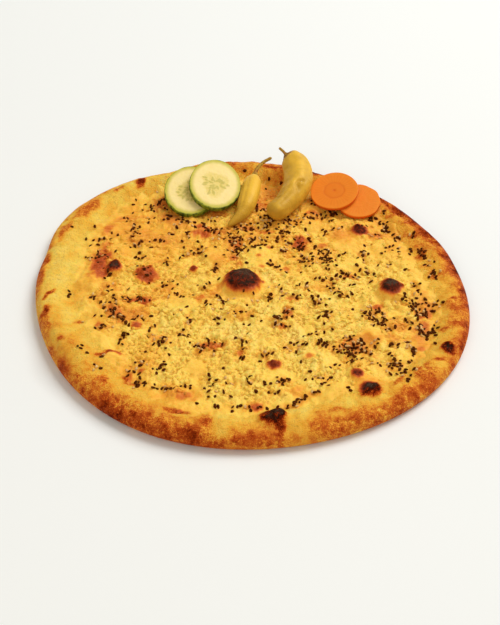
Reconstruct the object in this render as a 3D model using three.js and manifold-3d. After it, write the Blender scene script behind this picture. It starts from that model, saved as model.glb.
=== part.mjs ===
// A round flat bread with a raised rim, baked under a crumbly cheese topping and dressed at its far edge
// with two slices of cucumber, two pickled peppers and two slices of carrot.
// Millimetres, +Z up. The origin is the middle of the flat underside, and the garnish lies towards +Y.
import * as THREE from "three";
import { mergeVertices } from "three/addons/utils/BufferGeometryUtils.js";
import Module from "manifold-3d";

const DEG = Math.PI / 180;
// Clear space between two pieces that touch.
const GAP = 0.35;

// Outline from above: a circle with slow waves, and a few places where the edge is pulled in or out.
// Angles are in degrees, from +X towards +Y.
const OUTLINE_RADIUS = 163.5;
const OUTLINE_WAVES = [
  { count: 1, height: 1.2, phase: -90 },
  { count: 2, height: 5.4, phase: -72 },
  { count: 3, height: 2.0, phase: -8 },
  { count: 4, height: 1.5, phase: -120 },
];
const OUTLINE_PULLS = [
  { angle: 17, height: 2.0, width: 9 },
  { angle: 38, height: 2.0, width: 12 },
  { angle: 76, height: 1.5, width: 11 },
  { angle: 116, height: -5.0, width: 7 },
  { angle: 147, height: 3.0, width: 18 },
  { angle: 166, height: -2.5, width: 7 },
];

// Section: a thin floor, a rim that swells outside it, and an edge that rolls under to the flat base.
const FLOOR_HEIGHT = 8.5;
const EDGE_HEIGHT = 5.5;
const EDGE_TUCK = 6;
const CREST_HEIGHT = 13.5;
const CREST_INSET = 12;
const CREST_WAVES = [
  { count: 7, height: 0.5, phase: 57 },
  { count: 11, height: 0.4, phase: 115 },
];
// The floor starts this far inside the edge.
const FLOOR_INSET = 30;
const MARGIN_WIDTH = 27;
const MARGIN_WAVES = [
  { count: 5, height: 2.5, phase: 57 },
  { count: 8, height: 1.5, phase: 0 },
];
// The bare margin is widest on the left.
const MARGIN_PULL = { angle: 195, height: 8, width: 32 };
// The rim is puffed up most under the garnish.
const CREST_LIFTS = [
  { angle: 92, height: 3.5, width: 42 },
  { angle: 143, height: -1.5, width: 16 },
  { angle: 215, height: 1.2, width: 26 },
  { angle: 300, height: 1.0, width: 18 },
  { angle: 352, height: -1.2, width: 14 },
];

// Slow swells of the floor: one wave for each, with its height, its length and its direction.
const FLOOR_SWELLS = [
  { height: 0.7, length: 148, direction: 20, phase: 40 },
  { height: 0.6, length: 97, direction: 105, phase: 200 },
  { height: 0.4, length: 61, direction: 150, phase: 320 },
];

// Blisters and mounds of the dough. A lower sharpness would give steeper sides.
const BLISTER_SHARPNESS = 1.4;
const BLISTERS = {
  middle: { x: -3, y: -3, radius: 20, height: 10 },
  right: { x: 110, y: -9, radius: 13, height: 8 },
  front: { x: 19, y: -141, radius: 14, height: 6 },
  frontRight: { x: 85, y: -115, radius: 12, height: 5 },
  frontLeftMound: { x: -115, y: -75, radius: 36, height: 4 },
  frontLeftRidge: { x: -98, y: -82, radius: 11, height: 2.5 },
  behindMiddle: { x: 18, y: 32, radius: 19, height: 2.5 },
  leftPatch: { x: -79, y: 10, radius: 13, height: 3 },
  leftDark: { x: -102, y: 22, radius: 9, height: 4 },
  rightPale: { x: 92, y: -58, radius: 13, height: 2 },
  backRight: { x: 90, y: 67, radius: 10, height: 3.5 },
  underCarrot: { x: 55, y: 96, radius: 13, height: 4 },
  rightFold: { x: 144, y: -72, radius: 9, height: 3 },
  // The slices and the small pepper lean on these.
  underLowCucumber: { x: -46, y: 120, radius: 24, height: 10.2 },
  underHighCucumber: { x: -15, y: 119, radius: 20, height: 13.5 },
  underSmallPepper: { x: 6, y: 123, radius: 13, height: 6 },
  underHighCarrot: { x: 68, y: 112, radius: 18, height: 10 },
};

// The cheese lies on the floor and leaves the tallest blisters bare.
const CHEESE_THICKNESS = 2.0;
const CHEESE_EDGE_THICKNESS = 0.6;
const CHEESE_THINNING = 8;
const BARE_BLISTERS = [
  { blister: BLISTERS.middle, radius: 15.5 },
  { blister: BLISTERS.right, radius: 10 },
];
const CUTTER_SIDES = 20;
const CUTTER_HEIGHT = 60;

// Grid: spokes around, rings from the middle out to the edge of the cheese, then across the bare rim.
const SPOKES = 72;
const CHEESE_RINGS = 12;
const RIM_STEPS = [0.8, 0.6, 0.44, 0.28, 0.14, 0.04, 0];
const TUCK_ANGLES = [30, 60, 90];

// Slices are leaning discs: length runs up the slope, tilt lifts the far edge, roll lifts the left one.
const SLICES = [
  {
    name: "cucumber_slice_under",
    color: 0xecd893,
    centre: [-47.2, 106.2, 19.7],
    width: 43,
    length: 52,
    thickness: 4,
    tilt: 14,
    roll: 1,
  },
  {
    name: "cucumber_slice_over",
    color: 0xf0dc98,
    centre: [-27, 108.2, 24.6],
    width: 42.4,
    length: 51,
    thickness: 4,
    tilt: 16,
    roll: 6,
  },
  {
    name: "carrot_slice_under",
    color: 0xe8812c,
    centre: [91.7, 97, 16.4],
    width: 36,
    length: 36,
    thickness: 3,
    tilt: 11,
    roll: -2,
    flats: [-28, 14, 52],
  },
  {
    name: "carrot_slice_over",
    color: 0xea8530,
    centre: [71.8, 105, 20.8],
    width: 39.5,
    length: 39,
    thickness: 3,
    tilt: 13,
    roll: -8,
  },
];
const SLICE_SIDES = 40;
const SLICE_BEVEL = 0.4;
// A flat on a slice's outline cuts this share off its radius, and fades over this many degrees.
const FLAT_DEPTH = 0.035;
const FLAT_WIDTH = 14;

// Peppers: a soft body round a bent axis, blunt at both ends, with a thin stem.
// A station is a point of the axis, x, y and z, and the body's half width there.
const PEPPERS = [
  {
    name: "pepper_small",
    color: 0xd9ac3c,
    stations: [
      [-15.5, 66, 15, 4.4],
      [-5, 78.5, 17.4, 5.6],
      [-0.2, 90, 20.2, 7.5],
      [3.4, 109, 21.8, 8.4],
      [5.4, 124.5, 22.9, 8.5],
    ],
    bluntness: 3.2,
    stem: [
      [5.4, 121.5, 23.4],
      [7.6, 130, 25],
      [12.9, 137.4, 26.9],
      [20.4, 142, 29],
    ],
    stemRadius: 1.5,
  },
  {
    name: "pepper_large",
    color: 0xd2a535,
    stations: [
      [18.5, 73, 21.6, 12.2],
      [30, 86, 21.2, 10],
      [40.5, 106, 23.6, 11.6],
      [42.5, 122.5, 25.2, 12],
      [39.5, 137, 26.6, 11.3],
      [34.5, 145, 26.8, 9.8],
    ],
    bluntness: 5,
    stem: [
      [34, 141, 31],
      [30.5, 144.5, 33.5],
      [26.6, 147.4, 35.4],
    ],
    stemRadius: 1.2,
  },
];
const PEPPER_RINGS = 16;
const PEPPER_SIDES = 14;
const STEM_RINGS = 5;
const STEM_SIDES = 6;
const STEM_TAPER = 0.15;
const STEM_BLUNTNESS = 8;
// The body is a little wider than it is tall.
const PEPPER_SQUASH = 0.93;

const wasm = await Module();
wasm.setup();

// A soft step up and down again around an angle, in degrees.
function angleBump({ angle, height, width }, degrees) {
  const off = THREE.MathUtils.euclideanModulo(degrees - angle + 180, 360) - 180;
  return height * Math.exp(-((off / width) ** 2));
}

function outlineRadius(angle) {
  const degrees = angle / DEG;
  const waves = OUTLINE_WAVES.map((w) => w.height * Math.cos(w.count * angle - w.phase * DEG));
  const pulls = OUTLINE_PULLS.map((pull) => angleBump(pull, degrees));
  return [...waves, ...pulls].reduce((sum, term) => sum + term, OUTLINE_RADIUS);
}

function marginWidth(angle) {
  const waves = MARGIN_WAVES.map(
    ({ count, height, phase }) => height * Math.sin(count * angle + phase * DEG),
  );
  return waves.reduce((sum, term) => sum + term, MARGIN_WIDTH + angleBump(MARGIN_PULL, angle / DEG));
}

// Height of the rim's crest, which wobbles a little from place to place.
function crestHeight(angle) {
  const waves = CREST_WAVES.map(({ count, height, phase }) => height * Math.cos(count * angle + phase * DEG));
  const lifts = CREST_LIFTS.map((lift) => angleBump(lift, angle / DEG));
  return [...waves, ...lifts].reduce((sum, term) => sum + term, CREST_HEIGHT);
}

function floorHeight(x, y) {
  return FLOOR_SWELLS.reduce((sum, { height, length, direction, phase }) => {
    const travel = x * Math.cos(direction * DEG) + y * Math.sin(direction * DEG);
    return sum + height * Math.sin((2 * Math.PI * travel) / length + phase * DEG);
  }, FLOOR_HEIGHT);
}

// Round mounds added up: each has its full height in the middle and nothing at its radius.
function moundHeight(x, y) {
  return Object.values(BLISTERS).reduce((sum, blister) => {
    const share = Math.min(1, Math.hypot(x - blister.x, y - blister.y) / blister.radius);
    return sum + blister.height * (1 - share ** 2) ** BLISTER_SHARPNESS;
  }, 0);
}

// Top of the dough: a quarter ellipse from the edge up to the crest, then a slope down to the floor.
function doughTop(x, y) {
  const angle = Math.atan2(y, x);
  const inset = Math.max(0, outlineRadius(angle) - Math.hypot(x, y));
  const crest = crestHeight(angle);
  const outside = Math.min(1, inset / CREST_INSET);
  const arc = Math.sqrt(1 - (1 - outside) ** 2);
  const inside = THREE.MathUtils.smoothstep(inset, CREST_INSET, FLOOR_INSET);
  const roll = THREE.MathUtils.lerp(EDGE_HEIGHT, crest, arc);
  const base = outside < 1 ? roll : THREE.MathUtils.lerp(crest, floorHeight(x, y), inside);
  return base + moundHeight(x, y) * outside;
}

// Thickness of the cheese, thinning towards its edge; share is 0 in the middle and 1 at the edge.
function cheeseThickness(share) {
  return THREE.MathUtils.lerp(CHEESE_THICKNESS, CHEESE_EDGE_THICKNESS, share ** CHEESE_THINNING);
}

// A closed surface from rings of points: a point at each end, and the same number of points on each ring.
// Each four-sided cell is split along its shorter diagonal.
function ringSolid(first, rings, last) {
  const sides = rings[0].length;
  const points = [first, ...rings.flat(), last];
  const end = points.length - 1;
  const at = (ring, side) => 1 + ring * sides + (side % sides);
  const index = [];
  for (let side = 0; side < sides; side++) {
    index.push(0, at(0, side), at(0, side + 1));
    for (let ring = 0; ring + 1 < rings.length; ring++) {
      const [a, b] = [at(ring, side), at(ring, side + 1)];
      const [c, d] = [at(ring + 1, side), at(ring + 1, side + 1)];
      const falling = points[a].distanceTo(points[d]) < points[b].distanceTo(points[c]);
      index.push(...(falling ? [a, c, d, a, d, b] : [a, c, b, b, c, d]));
    }
    index.push(at(rings.length - 1, side), end, at(rings.length - 1, side + 1));
  }
  const geometry = new THREE.BufferGeometry().setFromPoints(points);
  return geometry.setIndex(index);
}

function around(count, makePoint) {
  return Array.from({ length: count }, (_, side) => makePoint((2 * Math.PI * side) / count));
}

// Distance from the middle of a ring that lies within the cheese.
function cheeseRadius(share, angle) {
  return share * (outlineRadius(angle) - marginWidth(angle));
}

// A point above the plan position that is radius away from the middle.
function topPoint(radius, angle, lift = 0) {
  const [x, y] = [radius * Math.cos(angle), radius * Math.sin(angle)];
  return new THREE.Vector3(x, y, doughTop(x, y) + lift);
}

function breadGeometry() {
  const rings = [];
  for (let ring = 1; ring <= CHEESE_RINGS; ring++)
    rings.push(around(SPOKES, (a) => topPoint(cheeseRadius(ring / CHEESE_RINGS, a), a)));
  for (const step of RIM_STEPS)
    rings.push(around(SPOKES, (a) => topPoint(outlineRadius(a) - step * marginWidth(a), a)));
  for (const tuck of TUCK_ANGLES)
    rings.push(
      around(SPOKES, (a) => {
        const radius = outlineRadius(a) - EDGE_TUCK * (1 - Math.cos(tuck * DEG));
        const height = EDGE_HEIGHT * (1 - Math.sin(tuck * DEG));
        return new THREE.Vector3(radius * Math.cos(a), radius * Math.sin(a), height);
      }),
    );
  return ringSolid(topPoint(0, 0), rings, new THREE.Vector3(0, 0, 0));
}

// Top and underside follow the same rings as the dough, so the gap below is even everywhere.
function cheeseGeometry() {
  const shares = Array.from({ length: CHEESE_RINGS }, (_, ring) => (ring + 1) / CHEESE_RINGS);
  const layer = (lift) =>
    shares.map((share) => around(SPOKES, (a) => topPoint(cheeseRadius(share, a), a, lift(share))));
  const top = layer((share) => GAP + cheeseThickness(share));
  const underside = layer(() => GAP).reverse();
  const middle = [GAP + CHEESE_THICKNESS, GAP].map((lift) => topPoint(0, 0, lift));
  return ringSolid(middle[0], [...top, ...underside], middle[1]);
}

function toSolid(geometry) {
  const bare = geometry.clone();
  bare.deleteAttribute("normal");
  bare.deleteAttribute("uv");
  const merged = mergeVertices(bare, 1e-4);
  const triVerts = new Uint32Array(merged.index.array);
  const vertProperties = merged.attributes.position.array;
  return new wasm.Manifold(new wasm.Mesh({ numProp: 3, vertProperties, triVerts }));
}

function fromSolid(solid) {
  const { vertProperties, triVerts } = solid.getMesh();
  const geometry = new THREE.BufferGeometry();
  geometry.setAttribute("position", new THREE.BufferAttribute(vertProperties, 3));
  return geometry.setIndex(new THREE.BufferAttribute(triVerts, 1));
}

// The cheese with a round opening over each blister that stands through it.
function openedCheeseGeometry() {
  const cutters = BARE_BLISTERS.map(({ blister, radius }) => {
    const cutter = new THREE.CylinderGeometry(radius, radius, CUTTER_HEIGHT, CUTTER_SIDES);
    return toSolid(cutter.rotateX(90 * DEG).translate(blister.x, blister.y, 0));
  });
  return fromSolid(cutters.reduce((cheese, cutter) => cheese.subtract(cutter), toSolid(cheeseGeometry())));
}

// Outline of a slice as a share of its radius: round, apart from any flats.
function sliceShare(angle, flats) {
  const cut = (flat) => angleBump({ angle: flat, height: FLAT_DEPTH, width: FLAT_WIDTH }, angle / DEG);
  return flats.reduce((share, flat) => share - cut(flat), 1);
}

function sliceGeometry({ width, length, thickness, flats = [] }) {
  const outline = around(SLICE_SIDES, (angle) => {
    const share = sliceShare(angle, flats);
    const [halfWidth, halfLength] = [width / 2 - SLICE_BEVEL, length / 2 - SLICE_BEVEL];
    return new THREE.Vector2(share * halfWidth * Math.cos(angle), share * halfLength * Math.sin(angle));
  });
  const geometry = new THREE.ExtrudeGeometry(new THREE.Shape(outline), {
    depth: thickness - 2 * SLICE_BEVEL,
    steps: 1,
    bevelSize: SLICE_BEVEL,
    bevelThickness: SLICE_BEVEL,
    bevelSegments: 1,
  });
  return geometry.translate(0, 0, SLICE_BEVEL - thickness / 2);
}

// A round body that follows the stations of an axis, closed by a point at each end.
function sweepGeometry(stations, rings, sides, halfWidthAt, squash) {
  const points = stations.map(([x, y, z]) => new THREE.Vector3(x, y, z));
  const curve = new THREE.CatmullRomCurve3(points, false, "catmullrom", 0.5);
  const up = new THREE.Vector3(0, 0, 1);
  const ringList = [];
  for (let ring = 1; ring < rings; ring++) {
    // Rings crowd towards both ends, where the body rounds off.
    const share = (1 - Math.cos((Math.PI * ring) / rings)) / 2;
    const centre = curve.getPoint(share);
    const tangent = curve.getTangent(share);
    const side = new THREE.Vector3().crossVectors(tangent, up).normalize();
    const over = new THREE.Vector3().crossVectors(side, tangent);
    const halfWidth = halfWidthAt(share);
    ringList.push(
      around(sides, (angle) =>
        centre
          .clone()
          .addScaledVector(side, halfWidth * Math.cos(angle))
          .addScaledVector(over, halfWidth * squash * Math.sin(angle)),
      ),
    );
  }
  return ringSolid(curve.getPoint(0), ringList, curve.getPoint(1));
}

function pepperGeometry({ stations, bluntness, stem, stemRadius }) {
  const widthPoints = stations.map(([, , , halfWidth], at) => new THREE.Vector2(at, halfWidth));
  const widths = new THREE.SplineCurve(widthPoints);
  const roundedEnds = (share, power) => Math.sqrt(1 - Math.abs(2 * share - 1) ** power);
  const bodyWidth = (share) => widths.getPoint(share).y * roundedEnds(share, bluntness);
  const stalkWidth = (share) => stemRadius * (1 - STEM_TAPER * share) * roundedEnds(share, STEM_BLUNTNESS);
  const body = sweepGeometry(stations, PEPPER_RINGS, PEPPER_SIDES, bodyWidth, PEPPER_SQUASH);
  const stalk = sweepGeometry(stem, STEM_RINGS, STEM_SIDES, stalkWidth, 1);
  return fromSolid(toSolid(body).add(toSolid(stalk)));
}

function named(name, geometry, color, roughness) {
  const mesh = new THREE.Mesh(geometry, new THREE.MeshStandardMaterial({ color, roughness, metalness: 0 }));
  mesh.name = name;
  return mesh;
}

const group = new THREE.Group();
group.add(named("bread", breadGeometry(), 0xe0a23e, 0.75));
group.add(named("cheese_layer", openedCheeseGeometry(), 0xe9b24a, 0.5));

const garnish = new THREE.Group();
for (const slice of SLICES) {
  const mesh = named(slice.name, sliceGeometry(slice), slice.color, 0.35);
  mesh.position.set(...slice.centre);
  mesh.rotation.set(slice.tilt * DEG, slice.roll * DEG, 0);
  garnish.add(mesh);
}
for (const pepper of PEPPERS) garnish.add(named(pepper.name, pepperGeometry(pepper), pepper.color, 0.3));
group.add(garnish);

export default group;
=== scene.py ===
"""A round seeded cheese bread with cucumber, pickled peppers and carrot on its far edge.

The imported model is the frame: metres, +Z up, the origin in the middle of the flat underside, the
garnish towards +Y. Sizes of the food are in millimetres and turn into metres as a mesh is made.
"""

import logging
import math
from dataclasses import dataclass
from enum import Enum

import bpy
import numpy as np
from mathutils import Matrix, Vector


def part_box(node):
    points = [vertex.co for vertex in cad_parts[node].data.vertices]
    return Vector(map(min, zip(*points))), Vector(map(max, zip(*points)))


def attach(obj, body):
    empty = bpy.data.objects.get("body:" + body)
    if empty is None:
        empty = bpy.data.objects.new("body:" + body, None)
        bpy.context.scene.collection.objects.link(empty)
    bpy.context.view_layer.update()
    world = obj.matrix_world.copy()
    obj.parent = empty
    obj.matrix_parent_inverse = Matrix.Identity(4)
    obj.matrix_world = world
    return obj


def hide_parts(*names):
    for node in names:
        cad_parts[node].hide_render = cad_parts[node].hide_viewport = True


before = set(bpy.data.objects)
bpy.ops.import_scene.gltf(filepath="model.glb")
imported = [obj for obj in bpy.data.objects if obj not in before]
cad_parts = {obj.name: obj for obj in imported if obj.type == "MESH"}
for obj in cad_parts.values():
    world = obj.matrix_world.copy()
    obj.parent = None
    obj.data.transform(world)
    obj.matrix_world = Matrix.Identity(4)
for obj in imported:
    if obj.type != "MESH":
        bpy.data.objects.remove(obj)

Array = np.ndarray
Tone = tuple[float, float, float, float]

MM = 0.001
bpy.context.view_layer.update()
log = logging.getLogger("cheese_bread")

# Odd numbers that scramble whole numbers well, and the bits that are kept.
SCRAMBLE = (374761393, 668265263, 2246822519, 1274126177)
WORD_BITS = 0xFFFFFFFF
FRACTION_BITS = 0xFFFFFF


# ---------------------------------------------------------------- numbers


def smooth(low: float, high: float, value: Array) -> Array:
    """A soft step by a cubic: 0 at low, 1 at high, and falling where low is the larger.

    Args:
        low: the value where the step starts.
        high: the value where it is complete.
        value: what is stepped.

    Returns:
        The share of the step, from 0 to 1.
    """
    share = np.clip((value - low) / (high - low), 0.0, 1.0)
    return share * share * (3.0 - 2.0 * share)


def angle_bump(degrees: Array, middle: float, width: float) -> Array:
    """A bell curve round the circle: exp(-(turn from the middle / width) squared)."""
    turn = (degrees - middle + 180.0) % 360.0 - 180.0
    return np.exp(-((turn / width) ** 2))


def bells(angle: Array, rows: tuple) -> Array:
    """Bell curves added up, each a middle in degrees, a height and a width in degrees."""
    degrees = np.degrees(angle)
    return sum(height * angle_bump(degrees, middle, width) for middle, height, width in rows)


def oval(x: Array, y: Array, middle: tuple, halves: tuple, turn: float) -> tuple[Array, Array]:
    """Places measured along and across a turned oval, as shares of its half length and half width.

    Args:
        x: places across.
        y: places along.
        middle: the oval's middle.
        halves: its half length and half width.
        turn: how far its length is turned from X, in radians.

    Returns:
        The shares along and across, whose hypotenuse is 1 on the oval's edge.
    """
    off_x, off_y = x - middle[0], y - middle[1]
    along = (off_x * math.cos(turn) + off_y * math.sin(turn)) / halves[0]
    across = (off_y * math.cos(turn) - off_x * math.sin(turn)) / halves[1]
    return along, across


def raised(value: Array, goal: float | Array, cover: Array) -> Array:
    """A value brought towards a goal by a share, and never lowered."""
    return np.maximum(value, value + (goal - value) * cover)


def around_z(angle: Array, reach: Array, height: Array | float) -> Array:
    """Points at each angle round the Z axis, at a reach from it and at a height."""
    return np.stack([reach * np.cos(angle), reach * np.sin(angle), height + 0 * reach], axis=-1)


def tone(code: str) -> Tone:
    """A screen colour such as "e8b14a" as the linear colour that a shader takes.

    Args:
        code: two hexadecimal digits each for red, green and blue.

    Returns:
        Red, green, blue and full opacity.
    """
    shares = np.array([int(code[at : at + 2], 16) for at in (0, 2, 4)]) / 255.0
    linear = np.where(shares <= 0.04045, shares / 12.92, ((shares + 0.055) / 1.055) ** 2.4)
    return (*map(float, linear), 1.0)


@dataclass(frozen=True)
class Pattern:
    """Repeatable patterns over the plane, made by hashing whole numbers."""

    seed: int

    def lattice(self, column: Array, row: Array) -> Array:
        """A number from 0 to 1 for each whole place, by products, shifts and exclusive ors.

        Args:
            column: the place's whole number across.
            row: its whole number along.

        Returns:
            The number.
        """
        first, second, third, fourth = SCRAMBLE
        mixed = column.astype(np.int64) * first + row.astype(np.int64) * second
        mixed = (mixed + self.seed * 97 * third) & WORD_BITS
        for shift, odd in ((13, fourth), (15, second)):
            mixed = ((mixed ^ (mixed >> shift)) * odd) & WORD_BITS
        return ((mixed ^ (mixed >> 16)) & FRACTION_BITS) / float(FRACTION_BITS)

    def waves(self, x: Array, y: Array, cell: float) -> Array:
        """Gradient noise: slopes drawn at the corners, blended by a quintic, times 1.5 to reach 1.

        Args:
            x: places across, in mm.
            y: places along, in mm.
            cell: the size of one swell, in mm.

        Returns:
            The height at each place.
        """
        u, v = x / cell, y / cell
        column, row = np.floor(u), np.floor(v)
        across, along = u - column, v - row
        ease = [share**3 * (share * (share * 6 - 15) + 10) for share in (across, along)]
        total = np.zeros_like(u)
        for step_x in (0, 1):
            for step_y in (0, 1):
                turn = 2 * np.pi * self.lattice(column + step_x, row + step_y)
                slope = np.cos(turn) * (across - step_x) + np.sin(turn) * (along - step_y)
                weight_x = ease[0] if step_x else 1 - ease[0]
                weight_y = ease[1] if step_y else 1 - ease[1]
                total += slope * weight_x * weight_y
        return total * 1.5

    def layers(self, x: Array, y: Array, cell: float, count: int) -> Array:
        """Waves added to waves of half the size and half the height, count times over.

        Args:
            x: places across, in mm.
            y: places along, in mm.
            cell: the size of the largest swells, in mm.
            count: how many sizes there are.

        Returns:
            The height at each place.
        """
        total = np.zeros_like(x)
        for step in range(count):
            total += self.waves(x + 31.7 * step, y - 17.3 * step, cell / 2**step) / 2**step
        return total


# ---------------------------------------------------------------- meshes


class Draft:
    """Points and faces gathered from grids, rings and poles before they become one closed mesh."""

    def __init__(self) -> None:
        """Starts with nothing."""
        self.blocks: list[Array] = []
        self.faces: list[Array] = []
        self.count = 0

    def add(self, points: Array) -> Array:
        """Adds points in mm, shaped (..., 3), and returns their numbers in the same shape.

        Args:
            points: the points in mm, shaped (..., 3).

        Returns:
            Their numbers, in the same shape.
        """
        flat = np.asarray(points, float).reshape(-1, 3)
        numbers = self.count + np.arange(len(flat))
        self.blocks.append(flat)
        self.count += len(flat)
        return numbers.reshape(np.shape(points)[:-1])

    def grid(self, points: Array) -> Array:
        """Adds a sheet of four-sided faces over points shaped (rows, columns, 3).

        Args:
            points: the sheet's points, in mm.

        Returns:
            The numbers of the points round the sheet's edge, in order.
        """
        at = self.add(points)
        corners = (at[:-1, :-1], at[1:, :-1], at[1:, 1:], at[:-1, 1:])
        self.faces.append(np.stack([c.ravel() for c in corners], axis=1))
        return np.concatenate([at[:-1, 0], at[-1, :-1], at[:0:-1, -1], at[0, :0:-1]])

    def skirt(self, loop: Array, rings: Array) -> Array:
        """Carries a loop of points on through rings of as many points.

        Args:
            loop: the numbers of the loop that it starts from.
            rings: the rings' points in mm, shaped (rings, points, 3).

        Returns:
            The numbers of the last ring.
        """
        for ring in rings:
            below = self.add(ring)
            corners = (below, np.roll(below, -1), np.roll(loop, -1), loop)
            self.faces.append(np.stack(corners, axis=1))
            loop = below
        return loop

    def pole(self, loop: Array, point: Array) -> None:
        """Closes a loop with a fan to one point, given in mm.

        Args:
            loop: the numbers of the loop.
            point: the point, in mm.
        """
        tip = self.add(np.asarray(point, float).reshape(1, 3))
        fan = (np.roll(loop, -1), loop, np.full(len(loop), tip[0]))
        self.faces.append(np.stack(fan, axis=1))

    def points(self) -> Array:
        """All the points so far, in mm."""
        return np.concatenate(self.blocks)

    def volume(self) -> float:
        """The signed volume: a sixth of each triangle's triple product, added up.

        Returns:
            The volume in cubic mm, below 0 where the faces point inwards.
        """
        points, total = self.points(), 0.0
        for block in self.faces:
            first = points[block[:, 0]]
            for step in range(1, block.shape[1] - 1):
                second, third = points[block[:, step]], points[block[:, step + 1]]
                total += float(np.einsum("ij,ij->", first, np.cross(second, third))) / 6.0
        return total

    def build(self, name: str, marks: dict[str, Array]) -> bpy.types.Object:
        """Makes the mesh in metres, facing outwards and smooth.

        Args:
            name: the piece's name.
            marks: a number for each point, under the name that a finish reads it by.

        Returns:
            The new object, in the scene.
        """
        blocks = self.faces if self.volume() > 0 else [block[:, ::-1] for block in self.faces]
        sides = np.concatenate([np.full(len(block), block.shape[1]) for block in blocks])
        corners = np.concatenate([block.ravel() for block in blocks])
        mesh = bpy.data.meshes.new(name)
        mesh.vertices.add(self.count)
        mesh.vertices.foreach_set("co", (self.points() * MM).ravel().astype(np.float32))
        mesh.loops.add(len(corners))
        mesh.loops.foreach_set("vertex_index", corners.astype(np.int32))
        mesh.polygons.add(len(sides))
        mesh.polygons.foreach_set("loop_start", (np.cumsum(sides) - sides).astype(np.int32))
        mesh.update(calc_edges=True)
        mesh.validate()
        mesh.shade_smooth()
        for mark, values in marks.items():
            layer = mesh.attributes.new(mark, "FLOAT", "POINT")
            layer.data.foreach_set("value", np.asarray(values, np.float32))
        piece = bpy.data.objects.new(name, mesh)
        bpy.context.scene.collection.objects.link(piece)
        return piece


def round_grid(cells: int) -> tuple[Array, Array]:
    """Spreads a square grid over a disc: squares round the middle become circles of the same area.

    Args:
        cells: the number of cells along each side of the square.

    Returns:
        The share of the radius and the angle of each point, shaped (cells + 1, cells + 1).
    """
    line = np.linspace(-1.0, 1.0, cells + 1)
    across, along = np.meshgrid(line, line, indexing="ij")
    wide = np.abs(across) > np.abs(along)
    share = np.where(wide, across, along)
    safe = np.where(share == 0, 1.0, share)
    slant = np.where(wide, along / safe, across / safe)
    angle = np.where(wide, np.pi / 4 * slant, np.pi / 2 - np.pi / 4 * slant)
    return np.abs(share), np.where(share < 0, angle + np.pi, angle)


def low_ball(around: int, rings: int) -> tuple[Array, Array]:
    """A unit ball of few faces: points on circles of latitude, closed by a pole at each end.

    Args:
        around: points on each circle.
        rings: how many circles there are.

    Returns:
        Its points shaped (n, 3), and its faces as triangles shaped (m, 3).
    """
    height = np.pi * (np.arange(rings) + 1) / (rings + 1)
    turn = 2 * np.pi * np.arange(around) / around
    ring = np.stack(
        [
            np.sin(height)[:, None] * np.cos(turn),
            np.sin(height)[:, None] * np.sin(turn),
            np.cos(height)[:, None] * np.ones(around),
        ],
        axis=-1,
    )
    points = np.concatenate([ring.reshape(-1, 3), [[0, 0, 1.0], [0, 0, -1.0]]])
    at = np.arange(rings * around).reshape(rings, around)
    after = np.roll(at, -1, axis=1)
    top, bottom = rings * around, rings * around + 1
    faces = [
        np.stack([at[0], after[0], np.full(around, top)], axis=1),
        np.stack([after[-1], at[-1], np.full(around, bottom)], axis=1),
    ]
    for ring_at in range(rings - 1):
        a, b, c, d = at[ring_at], after[ring_at], at[ring_at + 1], after[ring_at + 1]
        faces += [np.stack([a, c, b], axis=1), np.stack([b, c, d], axis=1)]
    return points, np.concatenate(faces)


# ---------------------------------------------------------------- finishes


class Socket:
    """One output of a shader node, so that shader maths is written as an expression."""

    def __init__(self, recipe: "Recipe", link: bpy.types.NodeSocket) -> None:
        """Keeps the node tree and the output."""
        self.recipe = recipe
        self.link = link

    def __add__(self, other: "Socket | float") -> "Socket":
        """self + other."""
        return self.recipe.math("ADD", self, other)

    def __radd__(self, other: float) -> "Socket":
        """other + self."""
        return self.recipe.math("ADD", other, self)

    def __sub__(self, other: "Socket | float") -> "Socket":
        """self - other."""
        return self.recipe.math("SUBTRACT", self, other)

    def __rsub__(self, other: float) -> "Socket":
        """other - self."""
        return self.recipe.math("SUBTRACT", other, self)

    def __mul__(self, other: "Socket | float") -> "Socket":
        """self * other."""
        return self.recipe.math("MULTIPLY", self, other)

    def __rmul__(self, other: float) -> "Socket":
        """other * self."""
        return self.recipe.math("MULTIPLY", other, self)

    def step(self, low: float, high: float) -> "Socket":
        """A soft step: 0 at low and 1 at high, falling where low is the larger.

        Args:
            low: the value where the step starts.
            high: the value where it is complete.

        Returns:
            The share of the step.
        """
        falls = low > high
        sockets = {"Value": self, "From Min": min(low, high), "From Max": max(low, high)}
        sockets |= {"To Min": float(falls), "To Max": float(not falls)}
        settings = {"interpolation_type": "SMOOTHSTEP"}
        return self.recipe.node("ShaderNodeMapRange", settings, sockets, "Result")


# Oil and crust reflect the light warm.
WARM_SHEEN = (1.0, 0.62, 0.3, 1.0)

# How far red, green and blue light soak into crumb and cheese, in metres.
SOAK = (0.002, 0.001, 0.0004)

# What heat does to dough and cheese, from barely set through golden and brown to charcoal.
BAKE_STOPS = [
    (0.00, tone("ffe078")),
    (0.12, tone("ffd45c")),
    (0.25, tone("f7b640")),
    (0.37, tone("e0842c")),
    (0.49, tone("c4561c")),
    (0.62, tone("963406")),
    (0.75, tone("661602")),
    (0.88, tone("300a02")),
    (1.00, tone("140602")),
]

# Painted shade, in tan, down in a pit or a crease; and the ash on charcoal.
PIT_TAN = tone("c08428")
ASH = tone("6a5040")


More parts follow.
